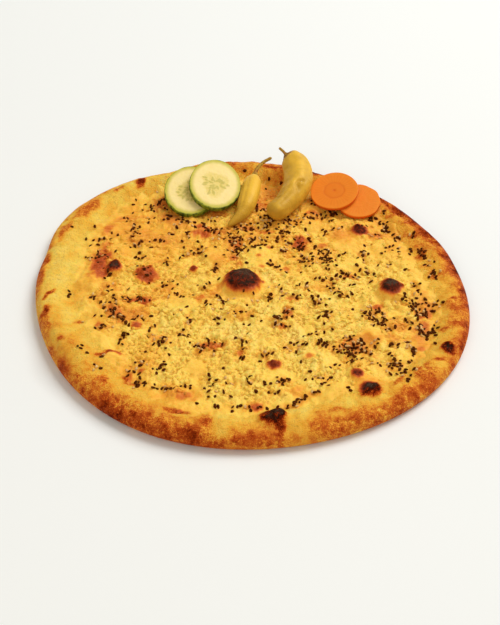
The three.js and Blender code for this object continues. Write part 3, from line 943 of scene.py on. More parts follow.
# Drifts of seeds: middle, half length and half width in mm, turn in degrees, and how many.
DRIFTS = (
    # Behind the middle, up to the garnish.
    (17, 75, 9, 9, 0, 38), (35, 77, 9, 7, 0, 28), (-3, 69, 11, 5, 0, 24), (4, 60, 6, 6, 0, 14),
    (-10, 50, 7, 9, 0, 38), (3, 50, 4, 8, 0, 16), (-8, 39, 8, 3, 0, 12), (-11, 32, 3, 3, 0, 6),
    (11, 46, 6, 3, -10, 8), (16, 54, 5, 3, 50, 6), (25, 56, 4, 3, 40, 7), (31, 59, 6, 3, 90, 9),
    (33, 48, 8, 3, -45, 12), (29, 41, 4, 3, 60, 6), (31, 36, 4, 3, 60, 6), (41, 42, 4, 3, 0, 5),
    (42, 50, 5, 6, 0, 7), (50, 53, 5, 1.5, 90, 6), (54, 43, 5, 4, 0, 8), (61, 39, 5, 3, 0, 11),
    (62, 30, 6, 7, 0, 36), (53, 33, 2, 2, 0, 3), (45, 27, 6, 5, 0, 20), (20, 21, 5, 2.5, -40, 8),
    (26, 18, 4, 1.5, -60, 5), (31, 13, 2, 2, 0, 3), (41, 15, 3, 1.5, 80, 3),
    (36, 32, 3, 1.5, 80, 3), (53, 84, 5, 4, 0, 13), (61, 84, 5, 4, -20, 9), (67, 79, 3, 3, 0, 6),
    (70, 89, 4, 5, 0, 16), (54, 101, 4, 5, 0, 9), (51, 75, 2, 2, 0, 2), (61, 63, 5, 2, -70, 6),
    (73, 65, 5, 3, 0, 6), (8, 93, 5, 1.5, 90, 6), (14, 93, 3, 2, 0, 5), (42, 76, 3, 3, 0, 5),
    (-3, 143, 1, 1, 0, 1), (17, 137, 2, 1, 30, 2), (15, 123, 1, 1, 0, 1), (29, 131, 1, 1, 0, 1),
    # The left of the far side.
    (-32, 68, 8, 3, -35, 16), (-46, 71, 5, 3, -20, 9), (-48, 62, 3, 3, 0, 5), (-36, 75, 4, 2, 0, 4),
    (-27, 79, 3, 4, 0, 4), (-25, 54, 6, 2, 0, 7), (-38, 37, 8, 2.5, 10, 11), (-47, 34, 3, 2, 40, 4),
    (-66, 88, 7, 3, 100, 14), (-72, 106, 4, 7, 0, 10), (-56, 79, 8, 3, -30, 10),
    (-63, 59, 3, 3, 0, 3), (-56, 72, 6, 3, 60, 5), (-67, 50, 5, 2, -30, 6), (-79, 96, 5, 3, -50, 8),
    (-80, 82, 5, 3, 50, 7), (-99, 80, 4, 3, -40, 6), (-92, 72, 7, 3, 100, 11),
    (-91, 63, 4, 5, 0, 9), (-122, 73, 3, 2, 0, 4), (-106, 61, 5, 3, -50, 5), (-120, 55, 8, 2, 0, 8),
    (-90, 49, 5, 3, -50, 8), (-81, 50, 7, 3, 20, 7), (-117, 43, 8, 3, -20, 5),
    (-119, 31, 8, 5, 20, 18), (-105, 20, 6, 3, 0, 6), (-106, 11, 4, 3, 0, 8),
    (-84, 31, 5, 2, 10, 6), (-78, 12, 8, 8, 0, 12), (-63, 28, 6, 2, 90, 6), (-62, 3, 6, 3, 30, 8),
    (-25, 18, 6, 3, 70, 13), (-94, 98, 12, 2, 90, 4), (-110, 117, 3, 2, 50, 4),
    (-77, 121, 2, 2, 90, 3), (-143, 66, 8, 2, 60, 3), (-41, 43, 14, 4, 0, 4),
    # The left of the near side.
    (-116, -16, 4, 4, 0, 11), (-106, -8, 8, 4, 60, 8), (-101, -20, 5, 5, 0, 14),
    (-108, -27, 8, 2.5, -55, 14), (-91, -20, 4, 6, 0, 8), (-97, -37, 9, 4, -45, 30),
    (-81, -19, 7, 3, 10, 14), (-110, -39, 4, 2, -40, 4), (-80, -39, 6, 3, 20, 9),
    (-105, -51, 5, 2, 0, 8), (-90, -63, 2, 8, 0, 9), (-70, -50, 5, 4, 60, 6),
    (-69, -60, 4, 2.5, 0, 8), (-63, -62, 5, 3.5, 0, 9), (-56, -66, 3, 2, -30, 4),
    (-48, -57, 6, 2, -20, 7), (-44, -44, 8, 3, 90, 8), (-70, -72, 10, 4, 30, 8),
    (-34, -71, 5, 5, 0, 18), (-27, -66, 3, 4, 0, 8), (-26, -74, 4, 4, 0, 6), (-19, -67, 6, 2, 0, 7),
    (-56, -13, 10, 3, 0, 9), (-30, -25, 8, 4, -30, 8), (-19, -20, 6, 6, 60, 8),
    (-20, -38, 5, 4, 0, 5), (-30, -3, 8, 4, 0, 5), (-75, -87, 4, 3, 0, 9), (-83, -94, 6, 4, 40, 9),
    (-64, -92, 9, 5, 0, 11), (-75, -106, 6, 4, 10, 16), (-57, -110, 8, 3, -20, 11),
    (-42, -110, 6, 2, 0, 7), (-27, -103, 9, 5, 0, 7), (-117, -77, 5, 2.5, -60, 6),
    (-128, -72, 8, 3, 90, 4), (-105, -93, 12, 3, 80, 7), (-133, -10, 4, 3, -60, 3),
    (-146, -29, 2, 2, 0, 2), (-22, -117, 12, 8, 0, 11),
    # The middle of the near side.
    (17, -18, 6, 2, 75, 9), (0, -17, 8, 7, -30, 7), (21, -5, 5, 2, 0, 5), (27, -17, 8, 2, 80, 4),
    (36, -18, 4, 2, 10, 7), (46, -8, 6, 1.5, 90, 7), (40, -8, 3, 3, 0, 4), (52, -21, 5, 5, 60, 11),
    (31, -33, 4, 4, 0, 14), (30, -40, 3, 3, 0, 5), (21, -42, 4, 3, 0, 8), (59, -38, 4, 5, 0, 12),
    (61, -51, 2, 2, 0, 3), (74, -37, 3, 3, 0, 2), (24, -50, 7, 2, 0, 10), (47, -57, 6, 2, 0, 7),
    (-3, -64, 3, 4, 60, 7), (-4, -73, 4, 2, 0, 6), (-4, -83, 3, 2, -40, 4), (-7, -36, 9, 4, 10, 11),
    (38, -68, 9, 4, 0, 12), (29, -72, 6, 4, 0, 9), (56, -70, 6, 3, -40, 15), (65, -76, 4, 4, 0, 8),
    (76, -64, 7, 4, 0, 26), (72, -72, 6, 5, 0, 32), (84, -72, 6, 6, 0, 34), (73, -79, 4, 4, 0, 12),
    (88, -78, 3, 3, 0, 6), (76, -86, 9, 3, 0, 9), (63, -91, 5, 2, 0, 5), (12, -79, 6, 3, 20, 9),
    (25, -106, 4, 3, 0, 14), (2, -107, 2, 4, 0, 6), (-12, -107, 5, 3, 0, 6), (14, -107, 3, 3, 0, 3),
    (53, -103, 6, 3, 0, 10), (17, -117, 8, 2, 0, 7), (43, -98, 2, 1, 0, 2), (55, -110, 3, 3, 0, 4),
    (29, -129, 6, 2, 15, 18), (37, -123, 4, 2.5, 50, 9), (47, -117, 4, 2, 20, 8),
    (70, -114, 1, 2, 0, 2), (3, -129, 8, 2.5, 0, 12), (-16, -129, 6, 3, 0, 5),
    # The right.
    (98, -33, 6, 5, 0, 24), (89, -38, 4, 6, 0, 17), (99, -44, 6, 5, 0, 26), (104, -51, 5, 3, 0, 9),
    (108, -41, 3, 2, 40, 5), (118, -43, 3, 6, 0, 5), (118, -22, 5, 5, 0, 12),
    (125, -26, 4, 7, 0, 20), (131, -32, 5, 4, 40, 13), (138, -29, 4, 2, 0, 6),
    (143, -24, 4, 6, 70, 15), (130, -12, 5, 5, -60, 12), (128, -1, 5, 2, -50, 7),
    (127, -50, 3, 7, 0, 18), (133, -54, 3, 6, -20, 14), (137, -48, 3, 8, 0, 8),
    (137, -66, 2, 1, 0, 3), (116, -63, 3, 3, -60, 5), (93, -68, 3, 5, 0, 8),
    (106, -69, 3, 4, 60, 5), (120, -72, 5, 2.5, 100, 11), (104, -78, 3, 3, 90, 4),
    (117, -84, 4, 1.5, 30, 6), (105, -88, 5, 6, 0, 19), (92, -87, 4, 2, 0, 5),
    (97, -94, 4, 3, 0, 4), (114, -96, 8, 4, 0, 13), (113, -106, 4, 6, 0, 8),
    (130, -104, 2, 2, 0, 3), (101, 82, 5, 4, 0, 16), (107, 76, 4, 2, 80, 5), (113, 71, 4, 6, 0, 16),
    (96, 69, 4, 2, 20, 7), (104, 61, 4, 3, 0, 9), (118, 62, 3, 1, 0, 3), (121, 57, 4, 2.5, 50, 10),
    (112, 87, 2, 2, 0, 3), (132, 55, 2, 6, 0, 8), (137, 38, 3, 7, 0, 14), (130, 42, 2, 4, 0, 5),
    (113, 45, 3, 5, -40, 9), (120, 42, 5, 5, 0, 5), (91, 36, 3, 6, 0, 11), (107, 37, 2, 2, 0, 2),
    (110, 22, 2, 2, 0, 3), (94, 14, 7, 3, -40, 7), (86, 18, 3, 5, 0, 4), (140, 21, 5, 2, 5, 9),
    (145, 26, 2, 2, 0, 2), (144, 10, 4, 5, 0, 14), (96, 3, 5, 2, 30, 6), (76, 12, 6, 3, -10, 10),
    (83, 8, 4, 3, -40, 6), (67, 5, 5, 3, 0, 7), (60, 1, 6, 3, -40, 8), (65, -7, 6, 3, -50, 12),
    (72, -12, 5, 2, -60, 7), (79, -14, 1, 3, 0, 2), (63, 17, 2, 3, 0, 3), (75, 36, 3, 1, 30, 3),
)

# Strays lie anywhere over the near and the far side.
STRAYS = ((0, -20, 110, 70, 0, 60), (0, 60, 100, 30, 0, 30))


def crowding(half_length: Array, half_width: Array, count: Array) -> Array:
    """How close the seeds of a drift lie, from 0 for few to 1 for a heap."""
    return np.minimum(1.0, count / (4.0 + half_length * half_width * 0.5))


@dataclass(frozen=True)
class BreadForm:
    """The bread's surface as functions of the place on it, in mm from the middle.

    Dough is a thin floor, a rim that swells outside it, and domes. Cheese lies on the floor in
    lumps, and bake says how far the heat went, from 0 for pale to 1 for charcoal.
    """

    radius: float = 163.5
    outline_waves: tuple = ((1, 1.2, -90.0), (2, 5.4, -72.0), (3, 2.0, -8.0), (4, 1.5, -120.0))
    outline_pulls: tuple = (
        (17.0, 2.0, 9.0),
        (38.0, 2.0, 12.0),
        (76.0, 1.5, 11.0),
        (116.0, -5.0, 7.0),
        (147.0, 3.0, 18.0),
        (166.0, -2.5, 7.0),
    )
    floor: float = 8.5
    floor_swells: tuple = (
        (0.7, 148.0, 20.0, 40.0),
        (0.6, 97.0, 105.0, 200.0),
        (0.4, 61.0, 150.0, 320.0),
    )
    edge_height: float = 5.5
    edge_tuck: float = 6.0
    crest: float = 13.5
    crest_inset: float = 12.0
    crest_lifts: tuple = (
        (92.0, 3.5, 42.0),
        (143.0, -1.5, 16.0),
        (215.0, 1.2, 26.0),
        (300.0, 1.0, 18.0),
        (352.0, -1.2, 14.0),
    )
    margin: float = 27.0
    margin_wave: float = 2.5
    margin_swells: tuple = ((195.0, 8.0, 32.0),)
    cheese: float = 1.5
    margin_bakes: tuple = ((-5.0, 0.05, 26.0), (238.0, 0.1, 20.0), (170.0, -0.07, 36.0))
    rim_bake_strength: float = 0.2
    rim_bake_reach: float = 7.0
    drift_bake: float = 0.31
    drift_margin: float = 1.5
    dome_warp: float = 0.8
    noise: Pattern = Pattern(11)
    fine: Pattern = Pattern(29)

    def edge(self, angle: Array) -> Array:
        """The outline: a circle with slow waves, pulled in or out in a few places.

        Args:
            angle: angles round the bread, in radians.

        Returns:
            The radius in mm.
        """
        total = np.full(np.shape(angle), self.radius)
        for count, height, phase in self.outline_waves:
            total += height * np.cos(count * angle - math.radians(phase))
        return total + bells(angle, self.outline_pulls)

    def bare_width(self, angle: Array) -> Array:
        """How wide the rim is that carries no cheese: widest on the left."""
        wave = np.sin(5 * angle + 1) + 0.6 * np.sin(8 * angle)
        return self.margin + self.margin_wave * wave + bells(angle, self.margin_swells)

    def crest_height(self, angle: Array) -> Array:
        """The height of the rim's crest, which is puffed up most under the garnish."""
        uneven = 0.5 * np.cos(7 * angle + 1) + 0.4 * np.cos(11 * angle + 2)
        return self.crest + uneven + bells(angle, self.crest_lifts)

    def inset(self, x: Array, y: Array) -> Array:
        """How far a place is from the outline, inwards."""
        return self.edge(np.arctan2(y, x)) - np.hypot(x, y)

    def warp(self, x: Array, y: Array, reach: float = 1.6) -> tuple[Array, Array]:
        """Shifts places by about reach mm, so that nothing drawn there is a true circle.

        Args:
            x: places across, in mm.
            y: places along, in mm.
            reach: how far they shift, in mm.

        Returns:
            The shifted places.
        """
        shift_x = reach * self.noise.layers(x, y, 13.0, 2)
        shift_y = reach * self.noise.layers(x + 200, y - 90, 13.0, 2)
        return x + shift_x, y + shift_y

    def domes(self, x: Array, y: Array) -> Array:
        """The blisters added up: height times (1 - (distance / radius) squared) to the sharpness.

        Args:
            x: places across, in mm.
            y: places along, in mm.

        Returns:
            The height in mm.
        """
        at_x, at_y = self.warp(x, y, self.dome_warp)
        total = np.zeros(np.shape(x))
        for spot in BLISTERS:
            share = np.minimum(1.0, np.hypot(at_x - spot.x, at_y - spot.y) / spot.radius)
            total += spot.height * (1 - share**2) ** spot.sharpness
        return total

    def folds(self, x: Array, y: Array) -> Array:
        """The folds: depth times a bell curve of the distance from each line, added up.

        Args:
            x: places across, in mm.
            y: places along, in mm.

        Returns:
            The depth in mm.
        """
        total = np.zeros(np.shape(x))
        for start_x, start_y, end_x, end_y, depth, width in FOLDS:
            long_x, long_y = end_x - start_x, end_y - start_y
            share = ((x - start_x) * long_x + (y - start_y) * long_y) / (long_x**2 + long_y**2)
            share = np.clip(share, 0.0, 1.0)
            away = np.hypot(x - start_x - share * long_x, y - start_y - share * long_y)
            total += depth * np.exp(-((away / width) ** 2))
        return total

    def dough(self, x: Array, y: Array) -> Array:
        """Top of the dough: a quarter ellipse up to the crest, then a slope to a rolling floor.

        Args:
            x: places across, in mm.
            y: places along, in mm.

        Returns:
            The height in mm.
        """
        angle = np.arctan2(y, x)
        inset = np.maximum(self.inset(x, y), 0.0)
        crest = self.crest_height(angle)
        floor = np.full(np.shape(x), self.floor)
        for height, length, direction, phase in self.floor_swells:
            turn = math.radians(direction)
            along = x * math.cos(turn) + y * math.sin(turn)
            floor += height * np.sin(2 * np.pi * along / length + math.radians(phase))
        outer = np.clip(inset / self.crest_inset, 0.0, 1.0)
        arc = np.sqrt(np.clip(1 - (1 - outer) ** 2, 0.0, 1.0))
        roll = self.edge_height + (crest - self.edge_height) * arc
        fall = smooth(self.crest_inset, self.margin + 3.0, inset)
        base = np.where(inset < self.crest_inset, roll, crest + (floor - crest) * fall)
        skin = 1.6 * self.noise.layers(x, y, 21.0, 3) + 0.3 * self.fine.layers(x, y, 5.0, 2)
        relief = self.domes(x, y) + skin - self.folds(*self.warp(x, y))
        return base + relief * np.minimum(1.0, outer * 1.5)

    def bareness(self, x: Array, y: Array) -> Array:
        """How bare a place is: 1 on the rim and on the caps of the blisters that burst clear.

        Args:
            x: places across, in mm.
            y: places along, in mm.

        Returns:
            The share.
        """
        at_x, at_y = self.warp(x, y)
        angle = np.arctan2(y, x)
        ragged = 6.0 * self.noise.layers(x + 50, y, 9.0, 3)
        bare = smooth(8.0, -8.0, self.inset(x, y) - self.bare_width(angle) + ragged)
        for spot in BLISTERS:
            if spot.char > 0.9:
                distance = np.hypot(at_x - spot.x, at_y - spot.y) + 0.3 * ragged
                bare = np.maximum(bare, smooth(spot.radius * 0.95, spot.radius * 0.6, distance))
        return bare

    def curdiness(self, x: Array, y: Array) -> Array:
        """How crumbly the cheese is: 1 where curds show and 0 where it melted smooth.

        Args:
            x: places across, in mm.
            y: places along, in mm.

        Returns:
            The share.
        """
        at_x, at_y = self.warp(x, y)
        curdy = smooth(0.95, 0.1, self.noise.layers(x - 120, y + 40, 24.0, 3))
        for spot in BLISTERS:
            if spot.bare:
                distance = np.hypot(at_x - spot.x, at_y - spot.y) / spot.bare
                curdy = curdy * smooth(0.5, 1.0, distance)
        inset = self.inset(x, y) - self.bare_width(np.arctan2(y, x))
        inset = inset + 6.0 * self.noise.layers(x, y - 300, 12.0, 2)
        calm = 0.75 + 0.25 * smooth(50.0, -30.0, y)
        return calm * curdy * smooth(0.0, 22.0, inset)

    def lumps(self, x: Array, y: Array) -> Array:
        """The crumbly grain of the cheese: swells of two sizes folded at their middle height.

        Each is the size of a noise without its sign, so that rounded lumps meet in narrow creases.

        Args:
            x: places across, in mm.
            y: places along, in mm.

        Returns:
            From 0 in a crease to 1 on top of a lump.
        """
        coarse = smooth(-0.1, 0.6, np.abs(self.noise.layers(x, y, 8.5, 2)))
        small = smooth(-0.15, 0.55, np.abs(self.fine.layers(x, y, 4.6, 2)))
        return 0.5 * coarse + 0.5 * small

    def cheese_lift(self, x: Array, y: Array) -> Array:
        """How far the cheese stands above the dough, below 0 where there is none.

        Args:
            x: places across, in mm.
            y: places along, in mm.

        Returns:
            The height in mm.
        """
        full = 1 - self.bareness(x, y)
        swell = self.fine.layers(x + 500, y, 11.0, 2)
        curds = (0.2 + 0.8 * self.curdiness(x, y)) * 2.8 * self.lumps(x, y)
        return full * (self.cheese * 0.6 + curds + swell) - 0.9 * (1 - full) ** 2

    def top(self, x: Array, y: Array) -> Array:
        """The visible surface: dough, or cheese where it stands higher."""
        return self.dough(x, y) + np.maximum(self.cheese_lift(x, y), 0.0)

    def rim_bake(self, x: Array, y: Array) -> Array:
        """Browning of the rim: strongest on the outer edge, and uneven along it.

        Args:
            x: places across, in mm.
            y: places along, in mm.

        Returns:
            What it adds to the bake.
        """
        angle = np.arctan2(y, x)
        stronger = [(at, more, wide) for at, more, _, wide in RIM_BROWNING]
        wider = [(at, further, wide) for at, _, further, wide in RIM_BROWNING]
        uneven = self.noise.layers(x - 40, y + 80, 13.0, 4)
        strength = self.rim_bake_strength + bells(angle, stronger) + 0.1 * uneven
        reach = np.clip((self.rim_bake_reach + bells(angle, wider)) * (1 + 0.4 * uneven), 3.0, 40.0)
        return strength * np.exp(-((np.maximum(self.inset(x, y), 0) / reach) ** 2))

    def slow_bake(self, x: Array, y: Array) -> Array:
        """The broad differences: darker at the back, the left and the margin, paler at the front.

        Args:
            x: places across, in mm.
            y: places along, in mm.

        Returns:
            The bake before rim, drifts, toasts and caps.
        """
        angle = np.arctan2(y, x)
        outer = smooth(44.0, 16.0, self.inset(x, y))
        uneven = np.clip(self.noise.layers(x - 75, y + 12, 19.0, 3), -0.5, 1.0)
        far = smooth(0.0, 60.0, y) * (1 - outer * smooth(0.0, -70.0, x))
        left = smooth(-20.0, -80.0, x) * smooth(-130.0, -80.0, y) * (1 - outer)
        near = np.exp(-(((x - 15) / 90) ** 2) - ((y + 55) / 60) ** 2)
        middle = 0.13 + 0.07 * self.noise.layers(x + 9, y - 33, 34.0, 2)
        margin = 0.06 + bells(angle, self.margin_bakes) + 0.1 * uneven
        return middle + 0.07 * far + 0.06 * left - 0.04 * near + outer * margin

    def bake(self, x: Array, y: Array) -> Array:
        """How far the heat went at each place, from 0 for pale to 1 for charcoal.

        Args:
            x: places across, in mm.
            y: places along, in mm.

        Returns:
            The bake.
        """
        at_x, at_y = self.warp(x, y)
        dome_x, dome_y = self.warp(x, y, self.dome_warp)
        total = self.slow_bake(x, y) + self.rim_bake(x, y)
        torn = 0.3 * self.fine.layers(x - 60, y + 25, 7.0, 3) + 0.2 * self.noise.waves(x, y, 2.6)
        for middle_x, middle_y, half_length, half_width, turned, count in DRIFTS:
            halves = (half_length + self.drift_margin, half_width + self.drift_margin)
            place = oval(at_x, at_y, (middle_x, middle_y), halves, math.radians(turned))
            cover = smooth(1.5, 0.2, np.hypot(*place) + torn)
            cover = cover * crowding(half_length, half_width, count)
            total = raised(total, self.drift_bake, cover)
        for patch in TOASTS:
            halves = (patch.half_length, patch.half_width)
            place = oval(at_x, at_y, (patch.x, patch.y), halves, math.radians(patch.turn))
            total = raised(total, patch.bake, smooth(1.45, 0.25, np.hypot(*place) + torn))
        for spot in BLISTERS:
            if spot.char:
                away = np.hypot(dome_x - spot.x - spot.cap_x, dome_y - spot.y - spot.cap_y)
                cover = smooth(spot.cap + 0.2, spot.cap - 0.26, away / spot.radius + 0.09 * torn)
                total = raised(total, spot.char, cover)
        return np.clip(total, 0.0, 1.0)


# ---------------------------------------------------------------- bread and cheese


@dataclass(frozen=True)
class Bread:
    """The dough: one closed body with a flat underside."""

    form: BreadForm
    cells: int = 286
    arc: float = 16.0
    tuck_angles: tuple = (18.0, 36.0, 54.0, 72.0, 90.0)
    base_insets: tuple = (14.0, 30.0, 60.0, 110.0)
    under_bake: float = 0.34

    def top_points(self) -> Array:
        """The upper surface on a round grid, whose outer cells follow the roll of the edge.

        Returns:
            The points in mm, shaped (cells + 1, cells + 1, 3).
        """
        share, angle = round_grid(self.cells)
        edge = self.form.edge(angle)
        inner = edge - self.form.crest_inset
        travel = share * (inner + self.arc)
        roll = np.clip((travel - inner) / self.arc, 0.0, 1.0) * np.pi / 2
        reach = np.where(travel < inner, travel, inner + self.form.crest_inset * np.sin(roll))
        x, y = reach * np.cos(angle), reach * np.sin(angle)
        return np.stack([x, y, self.form.dough(x, y)], axis=-1)

    def make(self) -> bpy.types.Object:
        """Builds the mesh: the top, the edge that rolls under, and the flat base.

        Returns:
            The new object.
        """
        draft = Draft()
        loop = draft.grid(self.top_points())
        around = draft.points()[loop]
        angle = np.arctan2(around[:, 1], around[:, 0])
        edge = self.form.edge(angle)
        rings = []
        for tuck in np.radians(self.tuck_angles):
            reach = edge - self.form.edge_tuck * (1 - math.cos(tuck))
            rings.append(around_z(angle, reach, self.form.edge_height * (1 - math.sin(tuck))))
        rings += [around_z(angle, edge - inset, 0.0) for inset in self.base_insets]
        last = draft.skirt(loop, np.array(rings))
        draft.pole(last, np.zeros(3))
        x, y, z = draft.points().T
        low = smooth(15.0, 3.0, self.form.inset(x, y)) * (1 - 0.6 * smooth(-60.0, 40.0, y))
        under = smooth(0.6, 0.0, z)
        marks = {
            "bake": self.form.bake(x, y) * (1 - under) + self.under_bake * under,
            "flour": np.maximum(0.7 * low, under),
        }
        return draft.build("bread_body", marks)


@dataclass(frozen=True)
class Cheese:
    """The baked cheese: a thin closed layer over the dough that dips into it where it ends."""

    form: BreadForm
    cells: int = 290
    reach: float = 16.0
    sunk: float = 3.1
    middle_sunk: float = 1.6
    rings: tuple = (1.0, 0.9, 0.75, 0.6, 0.45, 0.3, 0.15)

    def make(self) -> bpy.types.Object:
        """Builds the mesh: the lumpy top, and an underside that lies inside the dough.

        Returns:
            The new object.
        """
        share, angle = round_grid(self.cells)
        radius = share * (self.form.edge(angle) - self.reach)
        x, y = radius * np.cos(angle), radius * np.sin(angle)
        top = np.stack([x, y, self.form.dough(x, y) + self.form.cheese_lift(x, y)], axis=-1)
        draft = Draft()
        loop = draft.grid(top)
        around = draft.points()[loop]
        rings = []
        for part in self.rings:
            x, y = around[:, 0] * part, around[:, 1] * part
            rings.append(np.stack([x, y, self.form.dough(x, y) - self.sunk], axis=-1))
        last = draft.skirt(loop, np.array(rings))
        draft.pole(last, np.array([0.0, 0.0, self.form.floor - self.middle_sunk]))
        x, y, _ = draft.points().T
        marks = {
            "bake": self.form.bake(x, y),
            "lump": self.form.lumps(x, y),
            "curdy": 0.15 + 0.85 * self.form.curdiness(x, y),
        }
        return draft.build("cheese_topping", marks)


@dataclass(frozen=True)
class Scatter:
    """Small bodies strewn over the bread: seeds in drifts, or crumbs all over the cheese.

    Size is a body's three half sizes in mm, and spread how much they vary. Rise is how far its
    middle stands above the bread, as a share of its half height. Rough bodies are lumpy and others
    narrow to one end. A body leans with the slope over reach mm either way, up to the steepest.
    """

    form: BreadForm
    name: str
    size: tuple
    spread: float
    rise: float
    rough: float = 0.0
    narrowing: float = 0.28
    around: int = 7
    rings: int = 4
    reach: float = 1.2
    steepest: float = 0.6

    def lay(self, x: Array, y: Array, chance: np.random.Generator) -> bpy.types.Object:
        """Lays one body at each place, turned at random and tipped to the slope.

        Args:
            x: places across, in mm.
            y: places along, in mm.
            chance: the random numbers for turns, sizes and tilts.

        Returns:
            All the bodies as one object.
        """
        ball, faces = low_ball(self.around, self.rings)
        count = len(x)
        scale = 1 + self.spread * chance.uniform(-1, 1, (count, 1, 1))
        body = ball[None] * np.array(self.size)[None, None] * scale
        if self.rough:
            body = body * (1 + self.rough * chance.uniform(-1, 1, (count, len(ball), 1)))
        else:
            body[..., 1:] *= 1 - self.narrowing * ball[None, :, :1]
        turn = chance.uniform(0, 2 * np.pi, count)[:, None]
        tip = chance.normal(0, 0.16, (2, count))[:, :, None]
        across = body[..., 0] * np.cos(turn) - body[..., 1] * np.sin(turn)
        along = body[..., 0] * np.sin(turn) + body[..., 1] * np.cos(turn)
        height = body[..., 2]
        for (step_x, step_y), tipped, off in zip(((1, 0), (0, 1)), tip, (across, along)):
            step_x, step_y = step_x * self.reach, step_y * self.reach
            rise = self.form.top(x + step_x, y + step_y) - self.form.top(x - step_x, y - step_y)
            slope = np.clip(rise / (2 * self.reach), -self.steepest, self.steepest)
            height = height + (slope[:, None] + tipped) * off
        rest = self.form.top(x, y) + self.size[2] * self.rise
        across, along, height = x[:, None] + across, y[:, None] + along, rest[:, None] + height
        draft = Draft()
        starts = draft.add(np.stack([across, along, height], axis=-1))[:, :1, None]
        draft.faces.append((faces[None] + starts).reshape(-1, 3))
        flat = draft.points()
        marks = {
            "bake": self.form.bake(flat[:, 0], flat[:, 1]),
            # Lower on each crumb's underside, where the cheese finish paints shade in amber and
            # tan.
            "lump": np.tile(0.42 + 0.3 * ball[:, 2], count),
            "curdy": np.full(len(flat), 0.6),
        }
        return draft.build(self.name, marks)


class SeedKind(Enum):
    """The two kinds of seed."""

    BLACK = "black"
    PALE = "pale"

    @property
    def slot(self) -> str:
        """The name given as this kind's slot: its value with _seed after it."""
        return f"{self.value}_seed"


SEED_FINISHES = {
    SeedKind.BLACK: SeedFinish("black_seed_finish", "300800", "744018", 0.6),
    SeedKind.PALE: SeedFinish("pale_seed_finish", "cc9850", "f6d494", 0.6),
}


@dataclass(frozen=True)
class Seeds:
    """Black and pale seeds in drifts over the cheese.

    No two are closer than the gap in mm, which is less by up to closer where a drift is a heap.
    """

    form: BreadForm
    seed: int = 5
    gap: float = 2.4
    closer: float = 1.0
    plenty: float = 1.05
    pale_share: float = 0.18

    def places(self) -> tuple[Array, Array, np.random.Generator]:
        """Draws the seeds' places: a bell curve round the middle of each drift.

        Returns:
            The places across and along in mm, and the random numbers that follow.
        """
        chance = np.random.default_rng(self.seed)
        drifts = np.array(DRIFTS + STRAYS, float)
        counts = [round(self.plenty * count) for count in drifts[:, -1]]
        x, y, long, wide, turn, count = np.repeat(drifts, counts, axis=0).T
        gap = self.gap - self.closer * crowding(long, wide, count)
        turn = np.radians(turn)
        long, wide = (half * chance.normal(0, 0.55, len(half)) for half in (long, wide))
        x = x + long * np.cos(turn) - wide * np.sin(turn)
        y = y + long * np.sin(turn) + wide * np.cos(turn)
        near = np.hypot(x[:, None] - x[None], y[:, None] - y[None]) < gap
        crowded = np.triu(near, 1).any(axis=0)
        kept = (self.form.inset(x, y) > 14.0) & (self.form.bake(x, y) < 0.6) & ~crowded
        return x[kept], y[kept], chance

    def make(self) -> dict[SeedKind, bpy.types.Object]:
        """Builds one object for each kind of seed.

        Returns:
            The objects, black before pale.
        """
        x, y, chance = self.places()
        pale = chance.uniform(0, 1, len(x)) < self.pale_share
        black_seeds = Scatter(self.form, "black_seeds", (1.58, 0.96, 0.8), 0.26, 0.5)
        pale_seeds = Scatter(self.form, "pale_seeds", (1.5, 1.0, 0.6), 0.14, 0.7)
        return {
            SeedKind.BLACK: black_seeds.lay(x[~pale], y[~pale], chance),
            SeedKind.PALE: pale_seeds.lay(x[pale], y[pale], chance),
        }


@dataclass(frozen=True)
class Crumbs:
    """Loose curds of cheese, baked on where the cheese lies."""

    form: BreadForm
    count: int = 1800
    reach: float = 150.0
    seed: int = 17

    def make(self) -> bpy.types.Object:
        """Builds the crumbs as one object.

        Returns:
            The new object.
        """
        chance = np.random.default_rng(self.seed)
        radius = self.reach * np.sqrt(chance.uniform(0, 1, self.count))
        angle = chance.uniform(0, 2 * np.pi, self.count)
        x, y = radius * np.cos(angle), radius * np.sin(angle)
        kept = self.form.bareness(x, y) < chance.uniform(0.1, 0.8, self.count)
        kept &= self.form.curdiness(x, y) > chance.uniform(0.1, 0.5, self.count)
        kept &= self.form.bake(x, y) < 0.5
        crumbs = Scatter(self.form, "cheese_crumbs", (1.7, 1.25, 0.7), 0.4, -0.1, rough=0.16)
        return crumbs.lay(x[kept], y[kept], chance)


# ---------------------------------------------------------------- garnish


